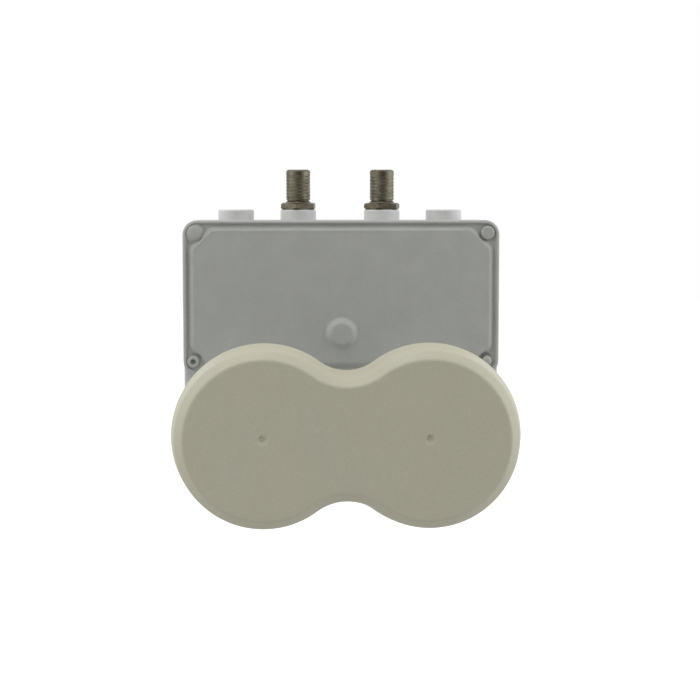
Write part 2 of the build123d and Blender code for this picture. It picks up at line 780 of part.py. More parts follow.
board_screw = round_head_screw(
    small_shank_radius,
    board_thickness + small_thread_depth,
    small_head_radius,
    small_head_height,
    small_head_round,
)
with BuildPart(across(switch_board_front, lid_centre)) as switch_board_screws:
    with GridLocations(switch_screw_spacing_x, switch_screw_spacing_z, 2, 2):
        add(board_screw)
switch_board_screws.part.label = "switch_board_screws"
export_step(switch_board_screws.part, "parts/switch_board_screws.step")

chip_row = lid_centre - chip_row_drop
with BuildPart() as switch_chips:
    with BuildSketch(across(switch_board_front, chip_row)):
        with GridLocations(chip_spacing, 0, 2, 1):
            Rectangle(chip_length, chip_width)
    extrude(amount=chip_height)
    chamfer(switch_chips.faces().group_by(Axis.Y)[0].edges(), chip_chamfer)
switch_chips.part.label = "switch_chips"
export_step(switch_chips.part, "parts/switch_chips.step")

with BuildPart() as voltage_regulators:
    with BuildSketch(across(switch_board_front, chip_row)):
        with GridLocations(regulator_spacing, 0, 2, 1):
            RectangleRounded(regulator_size, regulator_size, regulator_corner)
    extrude(amount=regulator_height)
voltage_regulators.part.label = "voltage_regulators"
export_step(voltage_regulators.part, "parts/voltage_regulators.step")

with BuildPart() as smoothing_capacitors:
    with BuildSketch(across(switch_board_front, lid_centre)):
        with GridLocations(capacitor_spacing, 0, 2, 1):
            Circle(capacitor_radius)
    extrude(amount=capacitor_height)
    fillet(smoothing_capacitors.faces().group_by(Axis.Y)[0].edges(), capacitor_round)
smoothing_capacitors.part.label = "smoothing_capacitors"
export_step(smoothing_capacitors.part, "parts/smoothing_capacitors.step")

# Radio board, with an open window over each waveguide and two tongues for the probes
probe_reach = waveguide_radius - probe_tongue_length
rf_width = bay_width - 2 * board_clearance
rf_height = rear_bay_height - 2 * board_clearance
rear_lugs = [(x, box_centre) for x, z in lug_spots]

with BuildPart() as rf_board:
    with BuildSketch(across(rf_board_rear)):
        with Locations((0, box_centre)):
            add(cut_corner(rf_width, rf_height, corner_cut, corner_round))
        with Locations(*rear_lugs):
            Circle(lug_radius + board_clearance, mode=Mode.SUBTRACT)
        with Locations(*shield_spots):
            Circle(small_pass_radius, mode=Mode.SUBTRACT)
        with Locations(*pin_spots):
            Circle(link_pin_radius + fit_clearance, mode=Mode.SUBTRACT)
        for feed_x in feeds:
            outward = 1 if feed_x > 0 else -1
            with Locations((feed_x, 0)):
                Circle(waveguide_radius, mode=Mode.SUBTRACT)
            with Locations((feed_x, probe_reach + probe_tongue_length / 2)):
                Rectangle(probe_tongue_width, probe_tongue_length)
            with Locations((feed_x + outward * (probe_reach + probe_tongue_length / 2), 0)):
                Rectangle(probe_tongue_length, probe_tongue_width)
    extrude(amount=rf_board_thickness)
rf_board.part.label = "rf_board"
export_step(rf_board.part, "parts/rf_board.step")

with BuildPart() as waveguide_probes:
    with BuildSketch(from_behind(rf_board_rear)):
        for feed_x in feeds:
            outward = 1 if feed_x > 0 else -1
            with Locations((feed_x, probe_reach + probe_tongue_length / 2)):
                Rectangle(probe_width, probe_tongue_length - probe_width)
            with Locations((feed_x + outward * (probe_reach + probe_tongue_length / 2), 0)):
                Rectangle(probe_tongue_length - probe_width, probe_width)
    extrude(amount=probe_thickness)
waveguide_probes.part.label = "waveguide_probes"
export_step(waveguide_probes.part, "parts/waveguide_probes.step")

with BuildPart() as amplifier_transistors:
    with BuildSketch(from_behind(rf_board_rear)):
        with Locations(*[(feed_x, z) for feed_x in feeds for z in transistor_rows]):
            Rectangle(transistor_size, transistor_size)
    extrude(amount=transistor_height)
amplifier_transistors.part.label = "amplifier_transistors"
export_step(amplifier_transistors.part, "parts/amplifier_transistors.step")

with BuildPart() as oscillator_pucks:
    with BuildSketch(from_behind(rf_board_rear)):
        with Locations(*puck_spots):
            Circle(puck_radius)
    extrude(amount=puck_thickness)
oscillator_pucks.part.label = "oscillator_pucks"
export_step(oscillator_pucks.part, "parts/oscillator_pucks.step")

# Shield plate: closes the waveguides with back-short cups and the radio board with channels
relief_width = rf_width - 2 * shield_rib
relief_height = rf_height - 2 * shield_rib
link_pocket_width = link_spots[-1] - link_spots[0] + 2 * link_pocket_margin

with BuildPart() as shield_plate:
    with BuildSketch(from_behind(rf_board_rear, box_centre)):
        add(cut_corner(rf_width, rf_height, corner_cut, corner_round))
        with Locations(*lug_spots):
            Circle(lug_radius + board_clearance, mode=Mode.SUBTRACT)
        with Locations(*[(x, z - box_centre) for x, z in shield_spots]):
            Circle(small_pass_radius, mode=Mode.SUBTRACT)
        with Locations(*[(x, z - box_centre) for x, z in puck_spots]):
            Circle(screw_hole_radius, mode=Mode.SUBTRACT)
    extrude(amount=shield_thickness)
    with BuildSketch(from_behind(rf_board_rear)):
        with Locations(*[(feed_x, 0) for feed_x in feeds]):
            Circle(waveguide_radius)
    extrude(amount=back_short_depth, mode=Mode.SUBTRACT)
    with BuildSketch(from_behind(rf_board_rear)):
        with Locations(*puck_spots):
            Circle(puck_pocket_radius)
    extrude(amount=puck_pocket_depth, mode=Mode.SUBTRACT)
    with BuildSketch(from_behind(rf_board_rear)):
        with Locations(*[(feed_x, channel_top / 2) for feed_x in feeds]):
            Rectangle(channel_width, channel_top)
        with Locations((0, link_row)):
            RectangleRounded(link_pocket_width, 2 * link_pocket_margin, link_pin_radius)
    extrude(amount=channel_depth, mode=Mode.SUBTRACT)
    with BuildSketch(from_behind(shield_rear)):
        with Locations((0, box_centre)):
            add(cut_corner(relief_width, relief_height, corner_cut, corner_round))
        with Locations(*rear_lugs):
            Circle(lug_radius + board_clearance + shield_rib, mode=Mode.SUBTRACT)
        with Locations(*shield_spots):
            Circle(small_head_radius + shield_rib / 2, mode=Mode.SUBTRACT)
        with Locations(*puck_spots):
            Circle(puck_pocket_radius + shield_rib / 2, mode=Mode.SUBTRACT)
        with Locations(*[(feed_x, 0) for feed_x in feeds]):
            Circle(waveguide_radius + shield_rib, mode=Mode.SUBTRACT)
    extrude(amount=-shield_relief, mode=Mode.SUBTRACT)
shield_plate.part.label = "shield_plate"
export_step(shield_plate.part, "parts/shield_plate.step")

shield_screw = round_head_screw(
    small_shank_radius,
    shield_thickness + rf_board_thickness + mid_wall,
    small_head_radius,
    small_head_height,
    small_head_round,
)
with BuildPart(from_behind(shield_rear)) as shield_screws:
    with Locations(*shield_spots):
        add(shield_screw)
shield_screws.part.label = "shield_screws"
export_step(shield_screws.part, "parts/shield_screws.step")

tuning_reach = shield_thickness - puck_thickness - tuning_gap + tuning_stand_out
with BuildPart() as tuning_screws:
    with BuildSketch(from_behind(shield_rear + tuning_stand_out)):
        with Locations(*puck_spots):
            Circle(screw_shank_radius)
    extrude(amount=-tuning_reach)
tuning_screws.part.label = "tuning_screws"
export_step(tuning_screws.part, "parts/tuning_screws.step")

# Link pins, each in an insulating bead in the inner wall
pin_length = rf_board_rear - switch_board_front + 2 * link_pin_stand_out
with BuildPart() as link_pins:
    with BuildSketch(across(rf_board_rear + link_pin_stand_out)):
        with Locations(*pin_spots):
            Circle(link_pin_radius)
    extrude(amount=pin_length)
link_pins.part.label = "link_pins"
export_step(link_pins.part, "parts/link_pins.step")

with BuildPart() as link_pin_beads:
    with BuildSketch(across(mid_wall_rear)):
        with Locations(*pin_spots):
            Circle(link_bead_radius)
            Circle(link_pin_radius + fit_clearance, mode=Mode.SUBTRACT)
    extrude(amount=mid_wall)
link_pin_beads.part.label = "link_pin_beads"
export_step(link_pin_beads.part, "parts/link_pin_beads.step")
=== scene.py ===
"""Twin-feed satellite LNB: the moulded cap, cast covers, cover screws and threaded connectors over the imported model,
with the finishes of every piece and a plain white studio. Laid out as an add-on and run as a script."""

import json
from math import atan2, copysign, cos, pi, radians, sin, sqrt, tan

import bmesh
import bpy
from mathutils import Matrix, Vector


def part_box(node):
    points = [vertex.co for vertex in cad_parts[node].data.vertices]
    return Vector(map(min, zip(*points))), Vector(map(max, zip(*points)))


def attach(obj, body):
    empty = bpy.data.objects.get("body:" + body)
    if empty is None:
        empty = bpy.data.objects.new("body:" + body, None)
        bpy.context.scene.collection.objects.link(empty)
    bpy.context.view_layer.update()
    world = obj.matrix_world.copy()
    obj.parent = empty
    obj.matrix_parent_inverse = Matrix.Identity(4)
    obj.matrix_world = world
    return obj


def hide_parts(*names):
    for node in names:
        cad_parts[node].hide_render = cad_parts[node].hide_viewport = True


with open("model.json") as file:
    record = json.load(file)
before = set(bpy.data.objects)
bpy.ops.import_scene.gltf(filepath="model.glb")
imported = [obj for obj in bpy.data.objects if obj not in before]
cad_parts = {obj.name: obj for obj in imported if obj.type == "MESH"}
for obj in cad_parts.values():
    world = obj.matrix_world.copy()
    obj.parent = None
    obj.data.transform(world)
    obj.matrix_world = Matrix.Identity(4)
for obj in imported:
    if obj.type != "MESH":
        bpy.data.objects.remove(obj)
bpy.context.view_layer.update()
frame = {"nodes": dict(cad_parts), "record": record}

bl_info = {
    "name": "Twin-feed satellite LNB",
    "version": (1, 0, 0),
    "blender": (4, 5, 0),
    "location": "View3D > Sidebar > LNB",
    "description": "Builds and finishes a twin-feed satellite LNB on its packed model",
    "category": "Object",
}

MM = 0.001

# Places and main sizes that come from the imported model
cap_low, cap_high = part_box("feed_cap")
lid_low, lid_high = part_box("front_lid")
lid_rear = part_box("front_lid_gasket")[0].y
rear_low, rear_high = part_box("rear_cover")
lobe_radius = (cap_high.z - cap_low.z) / 2
half_spacing = (cap_high.x - cap_low.x) / 2 - lobe_radius


def hex_colour(text):
    """The linear colour, with alpha, of an sRGB hex value."""
    shades = [int(text[place : place + 2], 16) / 255 for place in (0, 2, 4)]
    return [s / 12.92 if s <= 0.04045 else ((s + 0.055) / 1.055) ** 2.4 for s in shades] + [1.0]


def length(label, note, size):
    """A length property in metres, from a size in millimetres."""
    return bpy.props.FloatProperty(name=label, description=note, default=size * MM, unit="LENGTH", precision=5)


def colour(label, note, text):
    """A colour property from an sRGB hex value."""
    return bpy.props.FloatVectorProperty(
        name=label, description=note, default=hex_colour(text), subtype="COLOR", size=4, min=0.0, max=1.0
    )


class LnbCap(bpy.types.PropertyGroup):
    """Sizes of the weather cap."""

    waist_radius: length("Waist radius", "Radius of the hollow waists between the lobes", 16.6)
    wall: length("Wall", "Thickness of the moulded shell", 2.0)
    draft: length("Draft", "How far the skirt leans in towards the face", 1.7)
    bevel_width: length("Bevel width", "Width of the slope round the face", 3.3)
    bevel_depth: length("Bevel depth", "Depth of the slope round the face", 3.6)
    bevel_round: length("Bevel round", "Softening of the slope's two edges", 0.7)
    gate_radius: length("Gate mark radius", "Radius of the moulding gate's dimple", 2.0)
    gate_depth: length("Gate mark depth", "Depth of the moulding gate's dimple", 0.8)
    gate_left: length("Gate mark offset", "How far the gate marks sit to the left of the lobes' middles", 0.2)
    gate_up: length("Gate mark height", "How far the gate marks sit above the lobes' middles", 0.26)
    gate_lean: bpy.props.FloatProperty(
        name="Gate mark lean", description="How far the dimple leans to the upper left for its depth", default=0.5
    )
    lean_left: length("Lean left", "How far the face stands to the left of the skirt's rim", 0.36)
    lean_up: length("Lean up", "How far the face stands above the middle of the skirt's rim", 0.2)


class LnbCovers(bpy.types.PropertyGroup):
    """Sizes of the cast front lid and rear cover."""

    thickness: length("Thickness", "Height of the rim above the cover's back", 2.4)
    edge_round: length("Edge round", "Softening of the outer edge", 0.9)
    rim_width: length("Rim width", "Width of the rim round the cover", 1.05)
    groove_depth: length("Groove depth", "Depth of the groove inside the rim", 1.1)
    groove_slope: length("Groove slope", "Lean of the groove's outer wall", 0.75)
    panel_rise: length("Panel rise", "Height of the panel above the rim", 0.4)
    foot_inset: length("Foot inset", "Setback of the panel's foot from the edge", 2.1)
    foot_cut: length("Foot cut", "Slanted corner of the panel's foot", 8.5)
    slope: length("Slope width", "Width of the slope from the panel's foot to its top", 1.8)
    panel_round: length("Panel round", "Rounding at the ends of the slanted corners", 3.0)
    panel_soft: length("Panel softening", "Softening of the panel's foot and top edge", 0.35)
    lid_corner: length("Lid corner", "Corner radius of the front lid", 5.7)
    rear_corner: length("Rear corner", "Corner radius of the rear cover", 5.5)
    pad_height: length("Pad height", "Height of the round pad above the lid's lower edge", 16.45)
    pad_base: length("Pad base", "Radius of the round pad at its foot", 6.5)
    pad_top: length("Pad top", "Radius of the round pad's flat top", 3.75)
    pad_rise: length("Pad rise", "Height of the round pad", 1.85)
    lower_lift: length("Lower lift", "How much further the lid's panel stops short of the lower edge", 1.0)
    ridge_rise: length("Ridge rise", "Height of the ridge at the panel's upper left corner", 0.45)
    ridge_width: length("Ridge width", "Width of the flat band along the panel's edge", 0.7)
    ridge_reach: length("Ridge reach", "How far the ridge runs from that corner", 17.0)
    seat_drop: length("Seat drop", "How far the floor would fall to the middle of a screw's seat", 2.0)
    bay_depth: length("Bay depth", "Depth of the bays round the rear cover's middle screws", 5.3)
    bay_reach: length("Bay reach", "Half the width of those bays", 7.0)


class LnbScrews(bpy.types.PropertyGroup):
    """Sizes and places of the cover screws."""

    upper_inset: length("Upper inset", "Setback of the upper lid screws from the upper edge", 4.9)
    upper_side: length("Upper side inset", "Setback of the upper lid screws from the sides", 4.55)
    lower_inset: length("Lower inset", "Setback of the lower lid screws from the lower edge", 5.55)
    lower_side: length("Lower side inset", "Setback of the lower lid screws from the sides", 3.85)
    right_shift: length("Right shift", "How much further in the lower right screw sits", 0.8)
    rear_inset: length("Rear inset", "Setback of the rear screws from the edges", 4.4)
    head_radius: length("Head radius", "Radius of the head", 2.7)
    dome_radius: length("Dome radius", "Radius of the domed head at the upper left", 2.95)
    small_radius: length("Small head radius", "Radius of the lower left head on the lid", 2.4)
    round_radius: length("Round head radius", "Radius of the lower right head on the lid", 2.05)
    head_height: length("Head height", "Height of the head", 1.4)
    shank_radius: length("Shank radius", "Radius of the shank", 1.45)
    shank_length: length("Shank length", "Length of the shank below the head", 6.0)
    socket_radius: length("Socket radius", "Radius of the open drive socket", 1.05)
    socket_depth: length("Socket depth", "Depth of the open drive socket", 2.2)
    seat_radius: length("Seat radius", "Radius of the round seat cut round the head", 3.15)


class LnbConnectors(bpy.types.PropertyGroup):
    """Sizes of the threaded F connectors."""

    crest_radius: length("Crest radius", "Radius over the thread's crests", 4.76)
    root_radius: length("Root radius", "Radius at the thread's roots", 4.6)
    # The real pitch is 0.79 mm, which is two pixels of the render. It is drawn coarser so that the turns show.
    pitch: length("Pitch", "Distance from turn to turn", 1.3)
    collar: length("Collar", "Plain length above the thread", 2.2)
    mouth_chamfer: length("Mouth chamfer", "Chamfer round the mouth", 0.7)
    relief_radius: length("Relief radius", "Radius of the undercut above the hex", 4.3)
    relief: length("Relief", "Length of the undercut above the hex", 1.1)
    cone: length("Cone", "Width and height of the cone from the undercut to the hex", 0.8)
    hex_flats: length("Hex width", "Width of the hex flange across its flats", 12.9)
    hex_height: length("Hex height", "Height of the hex flange", 2.6)
    spigot_radius: length("Spigot radius", "Radius of the spigot in the boss", 4.0)
    bore_radius: length("Bore radius", "Radius of the bore that holds the insulator", 3.2)
    left_turn: bpy.props.FloatProperty(
        name="Left turn", description="How far the left hex is turned", default=radians(23), unit="ROTATION"
    )
    right_turn: bpy.props.FloatProperty(
        name="Right turn", description="How far the right hex is turned", default=radians(16), unit="ROTATION"
    )


class LnbFinishes(bpy.types.PropertyGroup):
    """Colours of the finishes."""

    cap: colour("Cap plastic", "Warm grey moulded plastic", "B3B19F")
    cap_aged: colour("Aged cap plastic", "Warmer tone that the plastic drifts to", "B6B29D")
    lid: colour("Lid coat", "Mid-grey powder coat of the front lid and its screws", "A5A7A2")
    casting: colour("Casting coat", "Pale grey coat of the casting and rear cover", "C6C6C5")
    alloy: colour("Bare alloy", "Uncoated die-cast aluminium", "A9AAAC")
    alloy_bloom: colour("Alloy bloom", "Dull bloom on bare aluminium", "8F9092")
    nickel: colour("Nickel plating", "Nickel plating on the connectors", "6B685B")
    nickel_worn: colour("Worn nickel", "Brownish tint of thin nickel on brass", "584D3A")
    zinc: colour("Zinc plating", "Bright zinc plating on the rear screws", "B9B9B4")
    zinc_dull: colour("Dull zinc", "Greyed zinc", "97989A")
    silicone: colour("Silicone", "Black silicone rubber", "1C1D1E")
    silicone_bloom: colour("Silicone bloom", "Grey bloom on the rubber", "27282A")
    polymer: colour("Insulator", "White insulator plastic", "EDEBE4")
    polymer_cut: colour("Cut insulator", "Slightly yellowed insulator plastic", "E4DFD2")
    gold: colour("Gold plating", "Gold plating on copper", "C9A24E")
    gold_worn: colour("Worn gold", "Copper tint of thin gold", "B07F45")
    mask: colour("Solder mask", "Green board lacquer", "1F5A36")
    package: colour("Chip package", "Black moulding compound", "1B1B1C")
    package_pale: colour("Pale chip package", "Grey cast of the compound's filler", "262627")
    can: colour("Capacitor can", "Drawn aluminium can", "B4B5B8")
    ceramic: colour("Ceramic", "Sintered ceramic puck", "DCD3BE")
    ceramic_warm: colour("Warm ceramic", "Warmer tone of the puck", "D2C5A8")
    brass: colour("Brass", "Turned brass", "B9985A")
    brass_dull: colour("Dull brass", "Brass gone brown", "96773F")


class LnbStage(bpy.types.PropertyGroup):
    """Camera and light."""

    azimuth: bpy.props.FloatProperty(
        name="Azimuth", description="Camera angle round the part", default=radians(-2.66), unit="ROTATION"
    )
    elevation: bpy.props.FloatProperty(
        name="Elevation", description="Camera angle above the horizon", default=radians(4.77), unit="ROTATION"
    )
    distance: length("Distance", "From the camera to the middle of the picture", 663.0)
    target: bpy.props.FloatVectorProperty(
        name="Target", description="Middle of the picture", default=(0.0005, -0.049, 0.03297), subtype="XYZ", unit="LENGTH"
    )
    lens: bpy.props.FloatProperty(name="Lens", description="Focal length", default=95.4, unit="CAMERA")
    floor_height: length("Floor height", "Height of the floor below the part's middle", -300.0)
    sky: bpy.props.FloatProperty(name="Sky", description="Level of the even light all round", default=1.0)
    overhead: bpy.props.FloatProperty(name="Overhead", description="Power of the lamp above", default=1.6, unit="POWER")
    left_side: bpy.props.FloatProperty(name="Left", description="Power of the lamp at the left", default=1.5, unit="POWER")
    right_side: bpy.props.FloatProperty(name="Right", description="Power of the lamp at the right", default=3.3, unit="POWER")


# Finishes


def add_node(tree, kind, inputs=None, **settings):
    """Adds a node with its settings, and fills or links its inputs."""
    made = tree.nodes.new(kind)
    for name, value in settings.items():
        setattr(made, name, value)
    for name, value in (inputs or {}).items():
        if isinstance(value, bpy.types.NodeSocket):
            tree.links.new(value, made.inputs[name])
        else:
            made.inputs[name].default_value = value
    return made


def start_finish(name):
    """A new material with only its output, and the socket of its Object coordinates."""
    finish = bpy.data.materials.new(name)
    finish.use_nodes = True
    finish.node_tree.nodes.clear()
    place = add_node(finish.node_tree, "ShaderNodeTexCoord").outputs["Object"]
    return finish, finish.node_tree, place


def end_finish(tree, shader):
    """Joins the surface shader to the material's output."""
    add_node(tree, "ShaderNodeOutputMaterial", {"Surface": shader.outputs["BSDF"]})


def shade(base, factor):
    """A colour made lighter or darker."""
    return [min(1.0, part * factor) for part in base[:3]] + [1.0]


def mould_textured(name, base, warm, grain, cloud, rough, relief):
    """A moulded or pressed matt stuff: eroded mould texture, and a slow drift from the base to a warmer tone."""
    finish, tree, place = start_finish(name)
    drift = add_node(tree, "ShaderNodeTexNoise", {"Vector": place, "Scale": 1 / cloud, "Detail": 2.0})
    spark = add_node(tree, "ShaderNodeTexNoise", {"Vector": place, "Scale": 1 / grain, "Detail": 3.0, "Roughness": 0.6})
    tone = add_node(
        tree,
        "ShaderNodeMix",
        {"Factor": drift.outputs["Fac"], "A": base, "B": warm},
        data_type="RGBA",
    )
    speck = add_node(
        tree, "ShaderNodeMapRange", {"Value": spark.outputs["Fac"], "From Min": 0.25, "From Max": 0.75, "To Min": 0.93, "To Max": 1.07}
    )
    tint = add_node(
        tree,
        "ShaderNodeMix",
        {"Factor": 1.0, "A": tone.outputs["Result"], "B": speck.outputs[0]},
        data_type="RGBA",
        blend_type="MULTIPLY",
    )
    dull = add_node(
        tree,
        "ShaderNodeMapRange",
        {"Value": spark.outputs["Fac"], "From Min": 0.3, "From Max": 0.7, "To Min": rough - 0.07, "To Max": rough + 0.07},
    )
    bump = add_node(tree, "ShaderNodeBump", {"Height": spark.outputs["Fac"], "Distance": relief})
    shader = add_node(
        tree,
        "ShaderNodeBsdfPrincipled",
        {"Base Color": tint.outputs["Result"], "Roughness": dull.outputs[0], "Normal": bump.outputs[0]},
    )
    end_finish(tree, shader)
    return finish


def sprayed_coat(name, base, peel, mottle, rough, relief):
    """A sprayed and baked coat: rounded orange peel, paler flecks, and the mottle of the casting under it."""
    finish, tree, place = start_finish(name)
    skin = add_node(tree, "ShaderNodeTexVoronoi", {"Vector": place, "Scale": 1 / peel}, feature="SMOOTH_F1")
    fleck = add_node(tree, "ShaderNodeTexNoise", {"Vector": place, "Scale": 2.5 / peel, "Detail": 2.0})
    cloud = add_node(tree, "ShaderNodeTexNoise", {"Vector": place, "Scale": 1 / mottle, "Detail": 4.0, "Roughness": 0.6})
    patch = add_node(
        tree,
        "ShaderNodeMix",
        {"Factor": cloud.outputs["Fac"], "A": shade(base, 0.9), "B": shade(base, 1.1)},
        data_type="RGBA",
    )
    pale = add_node(
        tree, "ShaderNodeMapRange", {"Value": fleck.outputs["Fac"], "From Min": 0.52, "From Max": 0.75, "To Max": 0.35}
    )
    tint = add_node(
        tree,
        "ShaderNodeMix",
        {"Factor": pale.outputs[0], "A": patch.outputs["Result"], "B": shade(base, 1.35)},
        data_type="RGBA",
    )
    dull = add_node(
        tree,
        "ShaderNodeMapRange",
        {"Value": cloud.outputs["Fac"], "From Min": 0.3, "From Max": 0.7, "To Min": rough - 0.05, "To Max": rough + 0.05},
    )
    bump = add_node(tree, "ShaderNodeBump", {"Height": skin.outputs["Distance"], "Distance": relief})
    shader = add_node(
        tree,
        "ShaderNodeBsdfPrincipled",
        {"Base Color": tint.outputs["Result"], "Roughness": dull.outputs[0], "Normal": bump.outputs[0]},
    )
    end_finish(tree, shader)
    return finish


def worked_metal(name, base, tarnish, mark, stain, rough, relief):
    """A bare or plated metal: fine tool rings about Z that break the shine, and stains of tarnish."""
    finish, tree, place = start_finish(name)
    ring = add_node(
        tree,
        "ShaderNodeTexWave",
        {"Vector": place, "Scale": 1 / (20 * mark), "Distortion": 2.0, "Detail": 2.0, "Detail Scale": 4.0},
        bands_direction="Z",
    )
    stains = add_node(tree, "ShaderNodeTexNoise", {"Vector": place, "Scale": 1 / stain, "Detail": 5.0, "Roughness": 0.65})
    share = add_node(
        tree, "ShaderNodeMapRange", {"Value": stains.outputs["Fac"], "From Min": 0.42, "From Max": 0.72}
    )
    tint = add_node(
        tree, "ShaderNodeMix", {"Factor": share.outputs[0], "A": base, "B": tarnish}, data_type="RGBA"
    )
    dull = add_node(
        tree, "ShaderNodeMapRange", {"Value": stains.outputs["Fac"], "To Min": rough - 0.1, "To Max": rough + 0.16}
    )
    bump = add_node(tree, "ShaderNodeBump", {"Height": ring.outputs["Fac"], "Distance": relief})
    shader = add_node(
        tree,
        "ShaderNodeBsdfPrincipled",
        {"Base Color": tint.outputs["Result"], "Roughness": dull.outputs[0], "Normal": bump.outputs[0], "Metallic": 1.0},
    )
    end_finish(tree, shader)
    return finish


def board_laminate(name, base, thread):
    """Solder mask over woven glass: the crossing threads stand out as a faint grid under the lacquer."""
    finish, tree, place = start_finish(name)
    warp = add_node(tree, "ShaderNodeTexWave", {"Vector": place, "Scale": 1 / (20 * thread)}, bands_direction="X")
    weft = add_node(tree, "ShaderNodeTexWave", {"Vector": place, "Scale": 1 / (20 * thread)}, bands_direction="Z")
    weave = add_node(
        tree, "ShaderNodeMath", {0: warp.outputs["Fac"], 1: weft.outputs["Fac"]}, operation="MULTIPLY"
    )
    tint = add_node(
        tree,
        "ShaderNodeMix",
        {"Factor": weave.outputs[0], "A": shade(base, 0.8), "B": shade(base, 1.25)},
        data_type="RGBA",
    )
    bump = add_node(tree, "ShaderNodeBump", {"Height": weave.outputs[0], "Distance": 0.02 * MM})
    shader = add_node(
        tree,
        "ShaderNodeBsdfPrincipled",
        {"Base Color": tint.outputs["Result"], "Roughness": 0.35, "Normal": bump.outputs[0], "Coat Weight": 0.3},
    )
    end_finish(tree, shader)
    return finish


def make_finishes(c):
    """Every finish of the part, by the record's slot."""
    return {
        # Moulded ASA: spark-eroded mould texture that breaks the light into a soft, warm matt, gone a little
        # yellow in patches. The real texture is finer than a pixel, so its grain is drawn 0.6 mm wide.
        "cap_plastic": mould_textured("moulded_asa", c.cap, c.cap_aged, 0.6 * MM, 22 * MM, 0.52, 0.03 * MM),
        # Powder coat on a die-casting: flat mid grey, orange peel about a millimetre wide, paler flecks
        "lid_paint": sprayed_coat("powder_coated_lid", c.lid, 1.1 * MM, 9 * MM, 0.48, 0.03 * MM),
        # The same coat on the screw heads lies thicker and a little glossier
        "painted_screw": sprayed_coat("powder_coated_steel", c.lid, 0.8 * MM, 4 * MM, 0.4, 0.02 * MM),
        # The casting's own coat is thin and pale, so the flow marks of the casting show as a broader mottle
        "cast_alloy": sprayed_coat("primed_die_casting", c.casting, 1.0 * MM, 12 * MM, 0.45, 0.03 * MM),
        # Bare aluminium casting inside the box: grey, with the dull bloom of release agent
        "bare_alloy": worked_metal("bare_die_casting", c.alloy, c.alloy_bloom, 0.8 * MM, 5 * MM, 0.45, 0.02 * MM),
        # Nickel on turned brass: tool rings, and a brown tint where handling has worn the nickel thin
        "nickel_brass": worked_metal("nickel_plated_brass", c.nickel, c.nickel_worn, 0.5 * MM, 2.2 * MM, 0.38, 0.02 * MM),
        "zinc_steel": worked_metal("zinc_plated_steel", c.zinc, c.zinc_dull, 0.4 * MM, 1.8 * MM, 0.34, 0.01 * MM),
        # Silicone rubber: near black with a grey bloom
        "seal_rubber": mould_textured("silicone_rubber", c.silicone, c.silicone_bloom, 0.6 * MM, 9 * MM, 0.62, 0.02 * MM),
        # Turned fluoropolymer: waxy white that yellows slightly towards the cut faces
        "white_insulator": mould_textured("turned_fluoropolymer", c.polymer, c.polymer_cut, 0.5 * MM, 4 * MM, 0.4, 0.01 * MM),
        "gold_copper": worked_metal("gold_plated_copper", c.gold, c.gold_worn, 0.4 * MM, 2 * MM, 0.27, 0.01 * MM),
        # The weave's real pitch of about 0.5 mm
        "board": board_laminate("lacquered_glass_board", c.mask, 0.5 * MM),
        # Epoxy moulding compound: black with a grey cast from its silica filler
        "chip_black": mould_textured("epoxy_package", c.package, c.package_pale, 0.4 * MM, 3 * MM, 0.55, 0.01 * MM),
        "capacitor_can": worked_metal("drawn_aluminium", c.can, c.alloy_bloom, 0.5 * MM, 3 * MM, 0.3, 0.01 * MM),
        # Sintered ceramic: cream, chalky, with fine pores
        "puck_ceramic": mould_textured("sintered_ceramic", c.ceramic, c.ceramic_warm, 0.4 * MM, 2 * MM, 0.62, 0.02 * MM),
        "brass": worked_metal("turned_brass", c.brass, c.brass_dull, 0.4 * MM, 2 * MM, 0.3, 0.01 * MM),
    }


# Shaping


def finish_piece(bm, name, slot, node):
    """Makes the object of a finished mesh, in the place and finish of the node that it stands for."""
    bmesh.ops.remove_doubles(bm, verts=bm.verts, dist=0.002 * MM)
    bmesh.ops.recalc_face_normals(bm, faces=bm.faces)
    mesh = bpy.data.meshes.new(name)
    bm.to_mesh(mesh)
    bm.free()
    for face in mesh.polygons:
        face.use_smooth = True
    mesh.set_sharp_from_angle(angle=radians(24))
    piece = bpy.data.objects.new(name, mesh)
    bpy.context.scene.collection.objects.link(piece)
    mesh.materials.append(bpy.data.materials[piece_finish(slot)])
    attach(piece, "root")
    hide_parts(node)
    return piece


def piece_finish(slot):
    """The name of the material made for a slot."""
    for finish in bpy.data.materials:
        if finish.get("lnb_slot") == slot:
            return finish.name
    raise RuntimeError(f"no finish for slot {slot}: make the finishes first")


def widest_face(bm):
    """The largest face, which is the flat that the next step works on."""
    return max(bm.faces, key=lambda face: face.calc_area())


def edges_at(bm, up, height):
    """The edges that lie at a height along a direction."""
    return [edge for edge in bm.edges if all(abs(vert.co.dot(up) - height) < 0.001 * MM for vert in edge.verts)]


def soften(bm, edges, size, steps):
    """Rounds a run of edges."""
    bmesh.ops.bevel(
        bm,
        geom=edges,
        offset=size,
        offset_type="OFFSET",
        segments=steps,
        profile=0.5,
        affect="EDGES",
        material=-1,
        clamp_overlap=True,
    )


def step_in(bm, face, inset, rise):
    """Insets a flat and lifts it. The flat stays the same face."""
    bmesh.ops.inset_region(
        bm, faces=[face], use_boundary=True, use_even_offset=True, thickness=inset, depth=rise
    )


